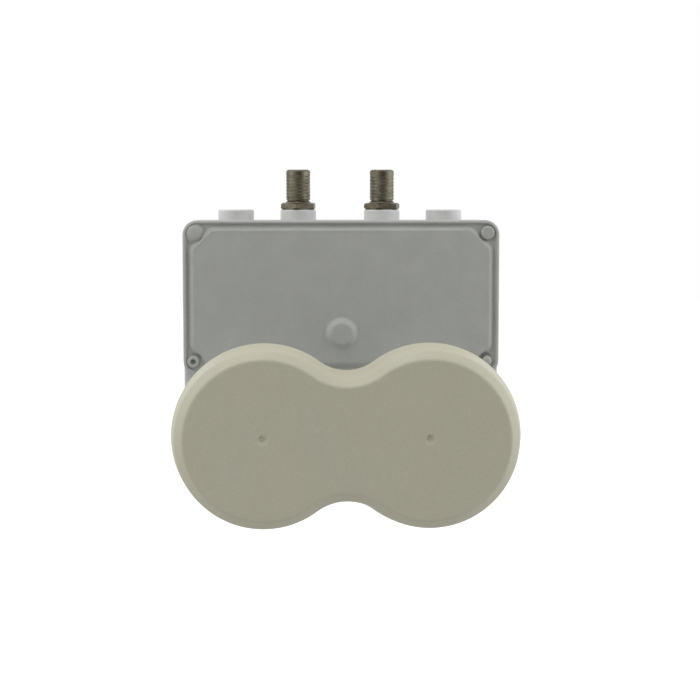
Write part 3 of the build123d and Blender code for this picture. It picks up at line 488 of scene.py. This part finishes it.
def open_flat(bm, face, circles):
    """Cuts round holes, each a centre and a radius, into a flat. Gives back each hole's edges."""
    up = face.normal.copy()
    turn = Vector((0, 0, 1)).rotation_difference(up).to_matrix().to_4x4()
    rim = list(face.edges)
    bmesh.ops.delete(bm, geom=[face], context="FACES_ONLY")
    holes = []
    for centre, radius in circles:
        made = bmesh.ops.create_circle(
            bm, cap_ends=False, segments=40, radius=radius, matrix=Matrix.Translation(centre) @ turn
        )
        holes.append(list({edge for vert in made["verts"] for edge in vert.link_edges}))
    bmesh.ops.triangle_fill(
        bm, use_beauty=True, use_dissolve=False, edges=rim + [edge for hole in holes for edge in hole], normal=up
    )
    return holes


def grow_rings(bm, edges, centre, up, rings):
    """Extrudes a round hole's edge through rings, each a radius and a height, and closes the last."""
    for radius, height in rings:
        made = bmesh.ops.extrude_edge_only(bm, edges=edges)["geom"]
        edges = [part for part in made if isinstance(part, bmesh.types.BMEdge)]
        for vert in [part for part in made if isinstance(part, bmesh.types.BMVert)]:
            out = vert.co - centre
            out -= up * out.dot(up)
            vert.co = centre + out.normalized() * radius + up * height
    bmesh.ops.edgeloop_fill(bm, edges=edges)


def round_corners(bm, verts, size, steps):
    """Cuts the corners of a flat back by a size along its edges, in as many steps. Gives back the flat."""
    made = bmesh.ops.bevel(
        bm,
        geom=verts,
        offset=size,
        offset_type="OFFSET",
        segments=steps,
        profile=0.5,
        affect="VERTICES",
        material=-1,
    )
    return made["verts"][0].link_faces[0]


def plate(bm, width, height, level):
    """A flat rectangle at a level. Gives back its corners."""
    corners = bmesh.ops.create_grid(bm, x_segments=1, y_segments=1, size=0.5)["verts"]
    bmesh.ops.scale(bm, vec=(width, height, 1), verts=corners)
    bmesh.ops.translate(bm, vec=(0, 0, level), verts=corners)
    return corners


def cut_corner_loop(bm, width, height, level, cut, rounding, lift):
    """A loop with slanted and rounded corners at a level, as edges without a face. Its lower run is lifted, and the
    slants stay where they are."""
    before = set(bm.edges)
    corners = plate(bm, width, height - lift, level)
    bmesh.ops.translate(bm, vec=(0, lift / 2, 0), verts=corners)
    flat = round_corners(bm, [vert for vert in corners if vert.co.y > 0], cut, 1)
    low = min(vert.co.y for vert in flat.verts)
    flat = round_corners(bm, [vert for vert in flat.verts if vert.co.y - low < 0.01 * MM], cut - lift, 1)
    flat = round_corners(bm, list(flat.verts), rounding * tan(radians(22.5)), 6)
    slants, sides = [], []
    for edge in flat.edges:
        run = edge.verts[0].co - edge.verts[1].co
        if run.length > rounding and abs(abs(run.x) - abs(run.y)) < run.length / 4:
            slants.append(edge)
        elif run.length > 10 * rounding and abs(run.x) < abs(run.y):
            sides.append(edge)
    bmesh.ops.delete(bm, geom=[flat], context="FACES_ONLY")
    bmesh.ops.subdivide_edges(bm, edges=slants, cuts=11)
    bmesh.ops.subdivide_edges(bm, edges=sides, cuts=119)
    return [edge for edge in bm.edges if edge not in before]


def open_bays(sizes, loop, seats):
    """Draws a loop in towards the middle round the seats that stand halfway up the sides."""
    for vert in {vert for edge in loop for vert in edge.verts}:
        for x, y in seats:
            share = 1 - abs(vert.co.y - y) / sizes.bay_reach
            if abs(y) < MM and share > 0 and vert.co.x * x > 0:
                vert.co.x -= copysign(sizes.bay_depth * (1 - cos(pi * share)) / 2, x)


def relief_cover(sizes, width, height, corner, seats, seat_radius, lift=0, ridge=0):
    """A cast cover with its back at zero and its front upwards: rim, groove and raised panel. The foot of the
    panel gives way to the round seats of the screws. A ridge runs round the panel's upper left corner."""
    bm = bmesh.new()
    base = round_corners(bm, plate(bm, width, height, 0), corner, 12)
    step_in(bm, base, 0, sizes.thickness)
    soften(bm, list(widest_face(bm).edges), sizes.edge_round, 4)
    flat = widest_face(bm)
    step_in(bm, flat, sizes.rim_width - sizes.edge_round, 0)
    step_in(bm, flat, sizes.groove_slope, -sizes.groove_depth)
    floor = list(flat.edges)
    floor_level = sizes.thickness - sizes.groove_depth
    bmesh.ops.delete(bm, geom=[flat], context="FACES_ONLY")
    foot = cut_corner_loop(
        bm,
        width - 2 * sizes.foot_inset,
        height - 2 * sizes.foot_inset,
        floor_level,
        sizes.foot_cut,
        sizes.panel_round,
        lift,
    )
    open_bays(sizes, foot, seats)
    for vert in {vert for edge in foot for vert in edge.verts}:
        for seat in seats:
            out = vert.co - Vector((*seat, floor_level))
            if out.length < seat_radius:
                vert.co += out.normalized() * (seat_radius - out.length)
                vert.co.z -= sizes.seat_drop * (1 - out.length / seat_radius)
    top = cut_corner_loop(
        bm,
        width - 2 * (sizes.foot_inset + sizes.slope),
        height - 2 * (sizes.foot_inset + sizes.slope),
        sizes.thickness + sizes.panel_rise,
        sizes.foot_cut - sizes.slope * (2 - sqrt(2)),
        sizes.panel_round,
        lift,
    )
    open_bays(sizes, top, seats)
    bmesh.ops.triangle_fill(bm, use_beauty=True, use_dissolve=False, edges=floor + foot, normal=(0, 0, 1))
    bmesh.ops.bridge_loops(bm, edges=foot + top)
    bmesh.ops.edgeloop_fill(bm, edges=top)
    bmesh.ops.edgeloop_fill(bm, edges=edges_at(bm, Vector((0, 0, 1)), 0))
    bmesh.ops.recalc_face_normals(bm, faces=bm.faces)
    panel = max(bm.faces, key=lambda face: face.calc_center_median().z * 1000 + face.calc_area())
    soften(bm, list(panel.edges), sizes.panel_soft, 4)
    panel = max(bm.faces, key=lambda face: face.calc_center_median().z * 1000 + face.calc_area())
    step_in(bm, panel, sizes.ridge_width, 0)
    setback, level = sizes.foot_inset + sizes.slope, sizes.thickness + sizes.panel_rise
    peak = Vector((setback - width / 2, height / 2 - setback, level))
    for vert in set(bm.verts) - set(panel.verts):
        if vert.co.z > level - sizes.panel_soft / 2:
            vert.co.z += ridge * max(0, 1 - (vert.co - peak).length / sizes.ridge_reach)
    step_in(bm, panel, sizes.panel_soft, 0)
    return bm, panel


def turned(profile, steps=48):
    """A mesh turned about Z from a profile of radii and heights."""
    bm = bmesh.new()
    verts = [bm.verts.new((radius, 0, height)) for radius, height in profile]
    edges = [bm.edges.new(pair) for pair in zip(verts, verts[1:])]
    bmesh.ops.spin(
        bm, geom=verts + edges, cent=(0, 0, 0), axis=(0, 0, 1), angle=2 * pi, steps=steps, use_merge=True
    )
    bmesh.ops.remove_doubles(bm, verts=bm.verts, dist=0.001 * MM)
    return bm


def join(bm, part, matrix):
    """Moves a mesh by a matrix and adds it to another."""
    part.transform(matrix)
    mesh = bpy.data.meshes.new("part")
    part.to_mesh(mesh)
    part.free()
    bm.from_mesh(mesh)
    bpy.data.meshes.remove(mesh)


# The front lid and its screws look along -Y, the rear cover and its screws along +Y
facing_front = Matrix(((1, 0, 0), (0, 0, -1), (0, 1, 0))).to_4x4()
facing_rear = Matrix(((-1, 0, 0), (0, 0, 1), (0, 1, 0))).to_4x4()


def lid_seats(screws):
    """Places of the front lid's screws, measured from the lid's middle: two lower ones, then two upper ones."""
    half_width = (lid_high.x - lid_low.x) / 2
    half_height = (lid_high.z - lid_low.z) / 2
    low = (half_width - screws.lower_side, half_height - screws.lower_inset)
    high = (half_width - screws.upper_side, half_height - screws.upper_inset)
    lower = [(-low[0], -low[1]), (low[0] - screws.right_shift, -low[1])]
    return lower + [(-high[0], high[1]), (high[0], high[1])]


def rear_seats(screws):
    """Places of the rear cover's screws, measured from the cover's middle."""
    across = (rear_high.x - rear_low.x) / 2 - screws.rear_inset
    up = (rear_high.z - rear_low.z) / 2 - screws.rear_inset
    return [(x, z) for x in (-across, across) for z in (-up, 0, up)]


class LNB_OT_finishes(bpy.types.Operator):
    """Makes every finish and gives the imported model's nodes theirs"""

    bl_idname = "lnb.finishes"
    bl_label = "Finishes"

    def execute(self, context):
        finishes = make_finishes(context.scene.lnb_finishes)
        for slot, finish in finishes.items():
            finish["lnb_slot"] = slot
        for part in frame["record"]["subparts"]:
            node = frame["nodes"][part["node"]]
            node.data.materials.clear()
            node.data.materials.append(finishes[part["material_slot"]])
        return {"FINISHED"}


class LNB_OT_cap(bpy.types.Operator):
    """Moulds the figure-eight weather cap"""

    bl_idname = "lnb.cap"
    bl_label = "Weather cap"

    def execute(self, context):
        sizes = context.scene.lnb_cap
        face_y, rear_y = cap_low.y, cap_high.y
        up = Vector((0, -1, 0))
        waist = sqrt((lobe_radius + sizes.waist_radius) ** 2 - half_spacing**2)
        joint = atan2(waist, half_spacing)
        bm = bmesh.new()
        start = (half_spacing + lobe_radius * cos(joint - pi), rear_y, lobe_radius * sin(joint - pi))
        end = bm.verts.new(start)
        lobe, hollow = 2 * pi - 2 * joint, 2 * joint - pi
        for centre, sweep, steps in (
            ((half_spacing, rear_y, 0), lobe, 130),
            ((0, rear_y, waist), hollow, 26),
            ((-half_spacing, rear_y, 0), lobe, 130),
            ((0, rear_y, -waist), hollow, 26),
        ):
            last = bmesh.ops.spin(bm, geom=[end], cent=centre, axis=(0, -1, 0), angle=sweep, steps=steps)
            end = next(part for part in last["geom_last"] if isinstance(part, bmesh.types.BMVert))
        bmesh.ops.remove_doubles(bm, verts=bm.verts, dist=0.01 * MM)
        bmesh.ops.edgeloop_fill(bm, edges=bm.edges)
        face = widest_face(bm)
        if face.normal.y > 0:
            face.normal_flip()
        step_in(bm, face, sizes.draft, rear_y - face_y - sizes.bevel_depth)
        step_in(bm, face, sizes.bevel_width, sizes.bevel_depth)
        shoulder = edges_at(bm, up, -face_y - sizes.bevel_depth)
        soften(bm, shoulder + list(face.edges), sizes.bevel_round, 6)
        face = widest_face(bm)
        step_in(bm, face, sizes.bevel_round / 2, 0)
        r, d = sizes.gate_radius, sizes.gate_depth
        middles = [x - sizes.gate_left for x in (-half_spacing, half_spacing)]
        gates = [(Vector((x, face_y, sizes.gate_up)), 1.3 * r) for x in middles]
        dimple = [(r, 0), (0.97 * r, -0.03 * d), (0.45 * r, -0.93 * d), (0.38 * r, -d)]
        pip = [(0.26 * r, -0.92 * d), (0.14 * r, -0.65 * d), (0.05 * r, -0.6 * d)]
        for hole, (centre, radius) in zip(open_flat(bm, face, gates), gates):
            grow_rings(bm, hole, centre, up, dimple + pip)
            # The sprue tears off at a slant, so the pit leans and its lower right wall is the gentler one
            for vert in bm.verts:
                if (vert.co - centre).length < radius:
                    vert.co += Vector((-1, 0, 1)) * sizes.gate_lean * (vert.co.y - face_y)
        lean = Matrix.Identity(4)
        lean[0][1] = sizes.lean_left / (rear_y - face_y)
        lean[2][1] = -sizes.lean_up / (rear_y - face_y)
        rim = Matrix.Translation((0, rear_y, 0))
        bm.transform(rim @ lean @ rim.inverted())
        bmesh.ops.recalc_face_normals(bm, faces=bm.faces)
        bmesh.ops.solidify(bm, geom=bm.faces, thickness=sizes.wall)
        finish_piece(bm, "moulded_cap", "cap_plastic", "feed_cap")
        return {"FINISHED"}


class LNB_OT_covers(bpy.types.Operator):
    """Casts the front lid with its round pad, and the rear cover"""

    bl_idname = "lnb.covers"
    bl_label = "Front lid and rear cover"

    def execute(self, context):
        sizes, screws = context.scene.lnb_covers, context.scene.lnb_screws
        width, height = lid_high.x - lid_low.x, lid_high.z - lid_low.z
        seats = lid_seats(screws)
        bm, panel = relief_cover(
            sizes, width, height, sizes.lid_corner, seats, screws.seat_radius, sizes.lower_lift, sizes.ridge_rise
        )
        level = sizes.thickness + sizes.panel_rise
        centre = Vector((0, sizes.pad_height - height / 2, level))
        hole = open_flat(bm, panel, [(centre, 1.1 * sizes.pad_base)])[0]
        rings = []
        for step in range(15):
            share = step / 14
            radius = sizes.pad_base + (sizes.pad_top - sizes.pad_base) * share
            rings.append((radius, sizes.pad_rise * share * share * (3 - 2 * share)))
        rings.append((sizes.pad_top * 0.8, sizes.pad_rise))
        grow_rings(bm, hole, centre, Vector((0, 0, 1)), rings)
        middle = Matrix.Translation((0, lid_rear, (lid_low.z + lid_high.z) / 2))
        bm.transform(middle @ facing_front)
        finish_piece(bm, "cast_front_lid", "lid_paint", "front_lid")

        width, height = rear_high.x - rear_low.x, rear_high.z - rear_low.z
        seats = [(-x, z) for x, z in rear_seats(screws)]
        bm, panel = relief_cover(sizes, width, height, sizes.rear_corner, seats, screws.seat_radius)
        middle = Matrix.Translation((0, rear_low.y, (rear_low.z + rear_high.z) / 2))
        bm.transform(middle @ facing_rear)
        finish_piece(bm, "cast_rear_cover", "cast_alloy", "rear_cover")
        return {"FINISHED"}


class LNB_OT_screws(bpy.types.Operator):
    """Turns the cover screws: domed and flat heads filled with coating on the lid, open sockets elsewhere"""

    bl_idname = "lnb.screws"
    bl_label = "Cover screws"

    def execute(self, context):
        screws, covers = context.scene.lnb_screws, context.scene.lnb_covers
        floor = covers.thickness - covers.groove_depth
        lid_heads = (
            self.profile(screws, screws.small_radius, "socket"),
            self.profile(screws, screws.round_radius, "round"),
            self.profile(screws, screws.dome_radius, "dome"),
            self.profile(screws, screws.head_radius, "button"),
        )
        bm = bmesh.new()
        middle = Matrix.Translation((0, lid_rear, (lid_low.z + lid_high.z) / 2)) @ facing_front
        for (x, z), profile in zip(lid_seats(screws), lid_heads):
            join(bm, turned(profile), middle @ Matrix.Translation((x, z, floor)))
        finish_piece(bm, "coated_lid_screws", "painted_screw", "front_lid_screws")

        bm = bmesh.new()
        middle = Matrix.Translation((0, rear_low.y, (rear_low.z + rear_high.z) / 2)) @ facing_rear
        for x, z in rear_seats(screws):
            profile = self.profile(screws, screws.head_radius, "socket")
            join(bm, turned(profile), middle @ Matrix.Translation((x, z, floor)))
        finish_piece(bm, "plated_rear_screws", "zinc_steel", "rear_cover_screws")
        return {"FINISHED"}

    def profile(self, screws, r, head):
        """Half the outline of a screw, from its tip up over its head: a coated dome, a plain round head, a flat
        button or an open socket."""
        h, s = screws.head_height, screws.socket_radius
        shank = [
            (0, -screws.shank_length),
            (0.7 * screws.shank_radius, -screws.shank_length),
            (screws.shank_radius, -0.92 * screws.shank_length),
            (screws.shank_radius, 0),
            (0.96 * r, 0),
            (r, 0.06 * h),
        ]
        turns = [radians(angle) for angle in range(0, 91, 9)]
        if head == "dome":
            coating = [(1.3 * r, 0), (1.3 * r, 0.3 * h), (1.12 * r, 0.42 * h), (1.03 * r, 0.5 * h)]
            return shank[:-2] + coating + [(r * cos(a), 0.55 * h + 0.6 * h * sin(a)) for a in turns]
        if head == "round":
            return shank + [(r * cos(a), 0.2 * h + h * sin(a)) for a in turns]
        button = [(0.62 * r + 0.38 * r * cos(a), 0.45 * h + 0.55 * h * sin(a)) for a in turns]
        if head == "button":
            return shank + button + [(0.5 * r, h), (0, h)]
        socket = [(1.12 * s, h), (s, 0.94 * h), (0.96 * s, h - screws.socket_depth), (0, h - screws.socket_depth)]
        return shank + button + socket


class LNB_OT_connectors(bpy.types.Operator):
    """Turns and threads the two F connectors on their hex flanges"""

    bl_idname = "lnb.connectors"
    bl_label = "F connectors"

    def execute(self, context):
        sizes = context.scene.lnb_connectors
        for side, turn in (("left", sizes.left_turn), ("right", sizes.right_turn)):
            low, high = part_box(f"f_connector_{side}")
            hex_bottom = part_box(f"f_sealing_ring_{side}")[1].z
            self.thread(sizes, side, turn, low, high, hex_bottom)
        return {"FINISHED"}

    def thread(self, sizes, side, turn, low, high, hex_bottom):
        """One connector: hex flange and undercut, cut thread, plain collar, mouth and bore."""
        hex_top = hex_bottom + sizes.hex_height
        thread_bottom = hex_top + sizes.relief
        thread_top = high.z - sizes.collar
        flat = sizes.hex_flats / 2
        bm = bmesh.new()

        # Helix of one pitch's profile, cut square at both ends
        root, crest, pitch = sizes.root_radius, sizes.crest_radius, sizes.pitch
        first = thread_bottom - pitch
        profile = [(root, 0), (root, 0.12), (crest, 0.42), (crest, 0.58), (root, 0.88), (root, 1)]
        verts = [bm.verts.new((radius, 0, first + share * pitch)) for radius, share in profile]
        edges = [bm.edges.new(pair) for pair in zip(verts, verts[1:])]
        rounds = int((thread_top - thread_bottom) / pitch) + 3
        bmesh.ops.spin(
            bm,
            geom=verts + edges,
            cent=(0, 0, 0),
            axis=(0, 0, 1),
            dvec=(0, 0, pitch / 72),
            angle=2 * pi * rounds,
            steps=72 * rounds,
        )
        bmesh.ops.remove_doubles(bm, verts=bm.verts, dist=0.002 * MM)
        ends = []
        for level, up in ((thread_bottom, (0, 0, -1)), (thread_top, (0, 0, 1))):
            cut = bmesh.ops.bisect_plane(
                bm,
                geom=list(bm.verts) + list(bm.edges) + list(bm.faces),
                dist=0.0001 * MM,
                plane_co=(0, 0, level),
                plane_no=up,
                clear_outer=True,
            )
            ends.append([part for part in cut["geom_cut"] if isinstance(part, bmesh.types.BMEdge)])

        # Undercut, hex flange and the spigot in the boss, down to the bore
        rings = [
            (sizes.relief_radius, thread_bottom),
            (sizes.relief_radius, hex_top + sizes.cone),
            (sizes.relief_radius + sizes.cone, hex_top),
            (0.95 * flat, hex_top),
            (None, hex_top),
            (None, hex_bottom),
            (0.95 * flat, hex_bottom),
            (sizes.spigot_radius, hex_bottom),
            (sizes.spigot_radius, low.z),
            (sizes.bore_radius, low.z),
        ]
        below = self.stack(bm, rings, flat)
        self.close(bm, ends[0], below)

        # Collar, mouth and bore above the thread
        c = sizes.mouth_chamfer
        outer = crest - 0.04 * MM
        rings = [
            (outer, thread_top),
            (outer, high.z - c),
            (outer - 0.12 * MM, high.z - 0.6 * c),
            (outer - 0.9 * c, high.z - 0.1 * MM),
            (outer - c, high.z),
            (sizes.bore_radius + 0.15 * MM, high.z),
            (sizes.bore_radius, high.z - 0.15 * MM),
            (sizes.bore_radius, low.z),
        ]
        above = self.stack(bm, rings, flat)
        self.close(bm, ends[1], above)
        bm.transform(
            Matrix.Translation(((low.x + high.x) / 2, (low.y + high.y) / 2, 0)) @ Matrix.Rotation(turn, 4, "Z")
        )
        finish_piece(bm, f"threaded_connector_{side}", "nickel_brass", f"f_connector_{side}")

    def stack(self, bm, rings, flat):
        """Rings of 72 points, each joined to the last. A ring with no radius follows the chamfered hexagon."""
        made = bmesh.ops.create_circle(bm, cap_ends=False, segments=72, radius=rings[0][0])["verts"]
        bmesh.ops.translate(bm, vec=(0, 0, rings[0][1]), verts=made)
        first = edges = list({edge for vert in made for edge in vert.link_edges})
        middle = sum(level for radius, level in rings if radius is None) / 2
        for radius, level in rings[1:]:
            grown = bmesh.ops.extrude_edge_only(bm, edges=edges)["geom"]
            edges = [part for part in grown if isinstance(part, bmesh.types.BMEdge)]
            for vert in [part for part in grown if isinstance(part, bmesh.types.BMVert)]:
                angle = atan2(vert.co.y, vert.co.x)
                reach, height = radius, level
                if radius is None:
                    reach = flat / cos((angle % (pi / 3)) - pi / 6)
                    slope = (reach - 0.95 * flat) * tan(radians(28))
                    height = level - slope if level > middle else level + slope
                vert.co = (reach * cos(angle), reach * sin(angle), height)
        return first

    def close(self, bm, cut, ring):
        """Fills the flat ring between the cut end of the thread and the next plain ring."""
        bmesh.ops.triangle_fill(bm, use_beauty=True, use_dissolve=False, edges=cut + ring, normal=(0, 0, 1))


class LNB_OT_stage(bpy.types.Operator):
    """Sets up the floor, the white surroundings, the lamps and the camera"""

    bl_idname = "lnb.stage"
    bl_label = "Stage"

    def execute(self, context):
        scene, sizes = context.scene, context.scene.lnb_stage
        scene.view_settings.view_transform = "Standard"

        # White surroundings, which light the part evenly
        world = bpy.data.worlds.new("white_studio")
        world.use_nodes = True
        tree = world.node_tree
        tree.nodes.clear()
        sky = add_node(tree, "ShaderNodeBackground", {"Color": (1, 1, 1, 1), "Strength": sizes.sky})
        add_node(tree, "ShaderNodeOutputWorld", {"Surface": sky.outputs[0]})
        scene.world = world

        # Floor well below the part, which hangs by its necks in use, so that its shadow stays soft
        floor = self.sheet("studio_floor", 6.0, Matrix.Translation((0, 0, sizes.floor_height)))
        finish, tree, place = start_finish("white_floor_paper")
        path = add_node(tree, "ShaderNodeLightPath")
        fibre = add_node(tree, "ShaderNodeTexNoise", {"Vector": place, "Scale": 1 / (40 * MM), "Detail": 3.0})
        tone = add_node(
            tree,
            "ShaderNodeMix",
            {"Factor": fibre.outputs["Fac"], "A": hex_colour("BCBCBC"), "B": hex_colour("C0C0C0")},
            data_type="RGBA",
        )
        paper = add_node(tree, "ShaderNodeBsdfDiffuse", {"Color": tone.outputs["Result"]})
        mirrored = add_node(
            tree, "ShaderNodeMath", {0: path.outputs["Is Glossy Ray"], 1: path.outputs["Is Transmission Ray"]}
        )
        faint = add_node(tree, "ShaderNodeMath", {0: mirrored.outputs[0], 1: 0.45}, operation="MULTIPLY")
        lift = add_node(
            tree,
            "ShaderNodeMath",
            {0: path.outputs["Is Camera Ray"], 1: 0.75, 2: faint.outputs[0]},
            operation="MULTIPLY_ADD",
        )
        glow = add_node(tree, "ShaderNodeEmission", {"Color": (1, 1, 1, 1), "Strength": lift.outputs[0]})
        both = add_node(tree, "ShaderNodeAddShader", {0: paper.outputs[0], 1: glow.outputs[0]})
        add_node(tree, "ShaderNodeOutputMaterial", {"Surface": both.outputs[0]})
        floor.data.materials.append(finish)

        # Dark curtain behind the camera, as in a room with the lamps at the sides: it keeps the front a little
        # darker than the sides, and gives the metal something dark to mirror
        curtain = self.sheet(
            "dark_curtain", 0.8, Matrix.Translation((0.3, -1.35, 0.1)) @ Matrix.Rotation(radians(-90), 4, "X")
        )
        curtain.visible_camera = False
        finish, tree, place = start_finish("grey_felt")
        fibre = add_node(tree, "ShaderNodeTexNoise", {"Vector": place, "Scale": 1 / (20 * MM), "Detail": 4.0})
        tone = add_node(
            tree,
            "ShaderNodeMix",
            {"Factor": fibre.outputs["Fac"], "A": hex_colour("4A4845"), "B": hex_colour("585551")},
            data_type="RGBA",
        )
        felt = add_node(tree, "ShaderNodeBsdfPrincipled", {"Base Color": tone.outputs["Result"], "Roughness": 0.9})
        end_finish(tree, felt)
        curtain.data.materials.append(finish)

        aim = Vector((0, -0.01, 0.03))
        for name, power, place, width, height in (
            ("overhead_softbox", sizes.overhead, (-0.2, -0.05, 0.8), 0.8, 0.6),
            ("left_softbox", sizes.left_side, (-0.8, -0.15, 0.2), 0.8, 0.8),
            ("right_softbox", sizes.right_side, (0.8, 0.0, 0.15), 1.0, 0.9),
        ):
            lamp = bpy.data.lights.new(name, "AREA")
            lamp.shape = "RECTANGLE"
            lamp.size, lamp.size_y = width, height
            lamp.energy = power
            softbox = bpy.data.objects.new(name, lamp)
            softbox.location = place
            softbox.visible_camera = False
            softbox.rotation_mode = "QUATERNION"
            softbox.rotation_quaternion = (aim - softbox.location).to_track_quat("-Z", "Y")
            scene.collection.objects.link(softbox)

        lens = bpy.data.cameras.new("photo_camera")
        lens.sensor_width = 36.0
        lens.lens = sizes.lens
        lens.dof.use_dof = False
        camera = bpy.data.objects.new("photo_camera", lens)
        a, e = sizes.azimuth, sizes.elevation
        back = Vector((sin(a) * cos(e), -cos(a) * cos(e), sin(e)))
        camera.location = Vector(sizes.target) + back * sizes.distance
        camera.rotation_mode = "QUATERNION"
        camera.rotation_quaternion = (-back).to_track_quat("-Z", "Y")
        scene.collection.objects.link(camera)
        scene.camera = camera
        return {"FINISHED"}

    def sheet(self, name, half, matrix):
        """A flat square of the stage, as wide as two halves."""
        bm = bmesh.new()
        bmesh.ops.create_grid(bm, x_segments=1, y_segments=1, size=half, matrix=matrix)
        mesh = bpy.data.meshes.new(name)
        bm.to_mesh(mesh)
        bm.free()
        made = bpy.data.objects.new(name, mesh)
        bpy.context.scene.collection.objects.link(made)
        return made


class LNB_PT_panel(bpy.types.Panel):
    """Lists the steps that build the part"""

    bl_idname = "LNB_PT_panel"
    bl_label = "Twin-feed LNB"
    bl_space_type = "VIEW_3D"
    bl_region_type = "UI"
    bl_category = "LNB"

    def draw(self, context):
        for step in steps:
            self.layout.operator(step.bl_idname)


groups = {
    "lnb_cap": LnbCap,
    "lnb_covers": LnbCovers,
    "lnb_screws": LnbScrews,
    "lnb_connectors": LnbConnectors,
    "lnb_finishes": LnbFinishes,
    "lnb_stage": LnbStage,
}
steps = (LNB_OT_finishes, LNB_OT_cap, LNB_OT_covers, LNB_OT_screws, LNB_OT_connectors, LNB_OT_stage)


def register():
    for name, group in groups.items():
        bpy.utils.register_class(group)
        setattr(bpy.types.Scene, name, bpy.props.PointerProperty(type=group))
    for step in steps:
        bpy.utils.register_class(step)
    bpy.utils.register_class(LNB_PT_panel)


def unregister():
    bpy.utils.unregister_class(LNB_PT_panel)
    for step in reversed(steps):
        bpy.utils.unregister_class(step)
    for name, group in reversed(groups.items()):
        delattr(bpy.types.Scene, name)
        bpy.utils.unregister_class(group)


def main():
    register()
    bpy.ops.lnb.finishes()
    bpy.ops.lnb.cap()
    bpy.ops.lnb.covers()
    bpy.ops.lnb.screws()
    bpy.ops.lnb.connectors()
    bpy.ops.lnb.stage()


if __name__ == "__main__":
    main()
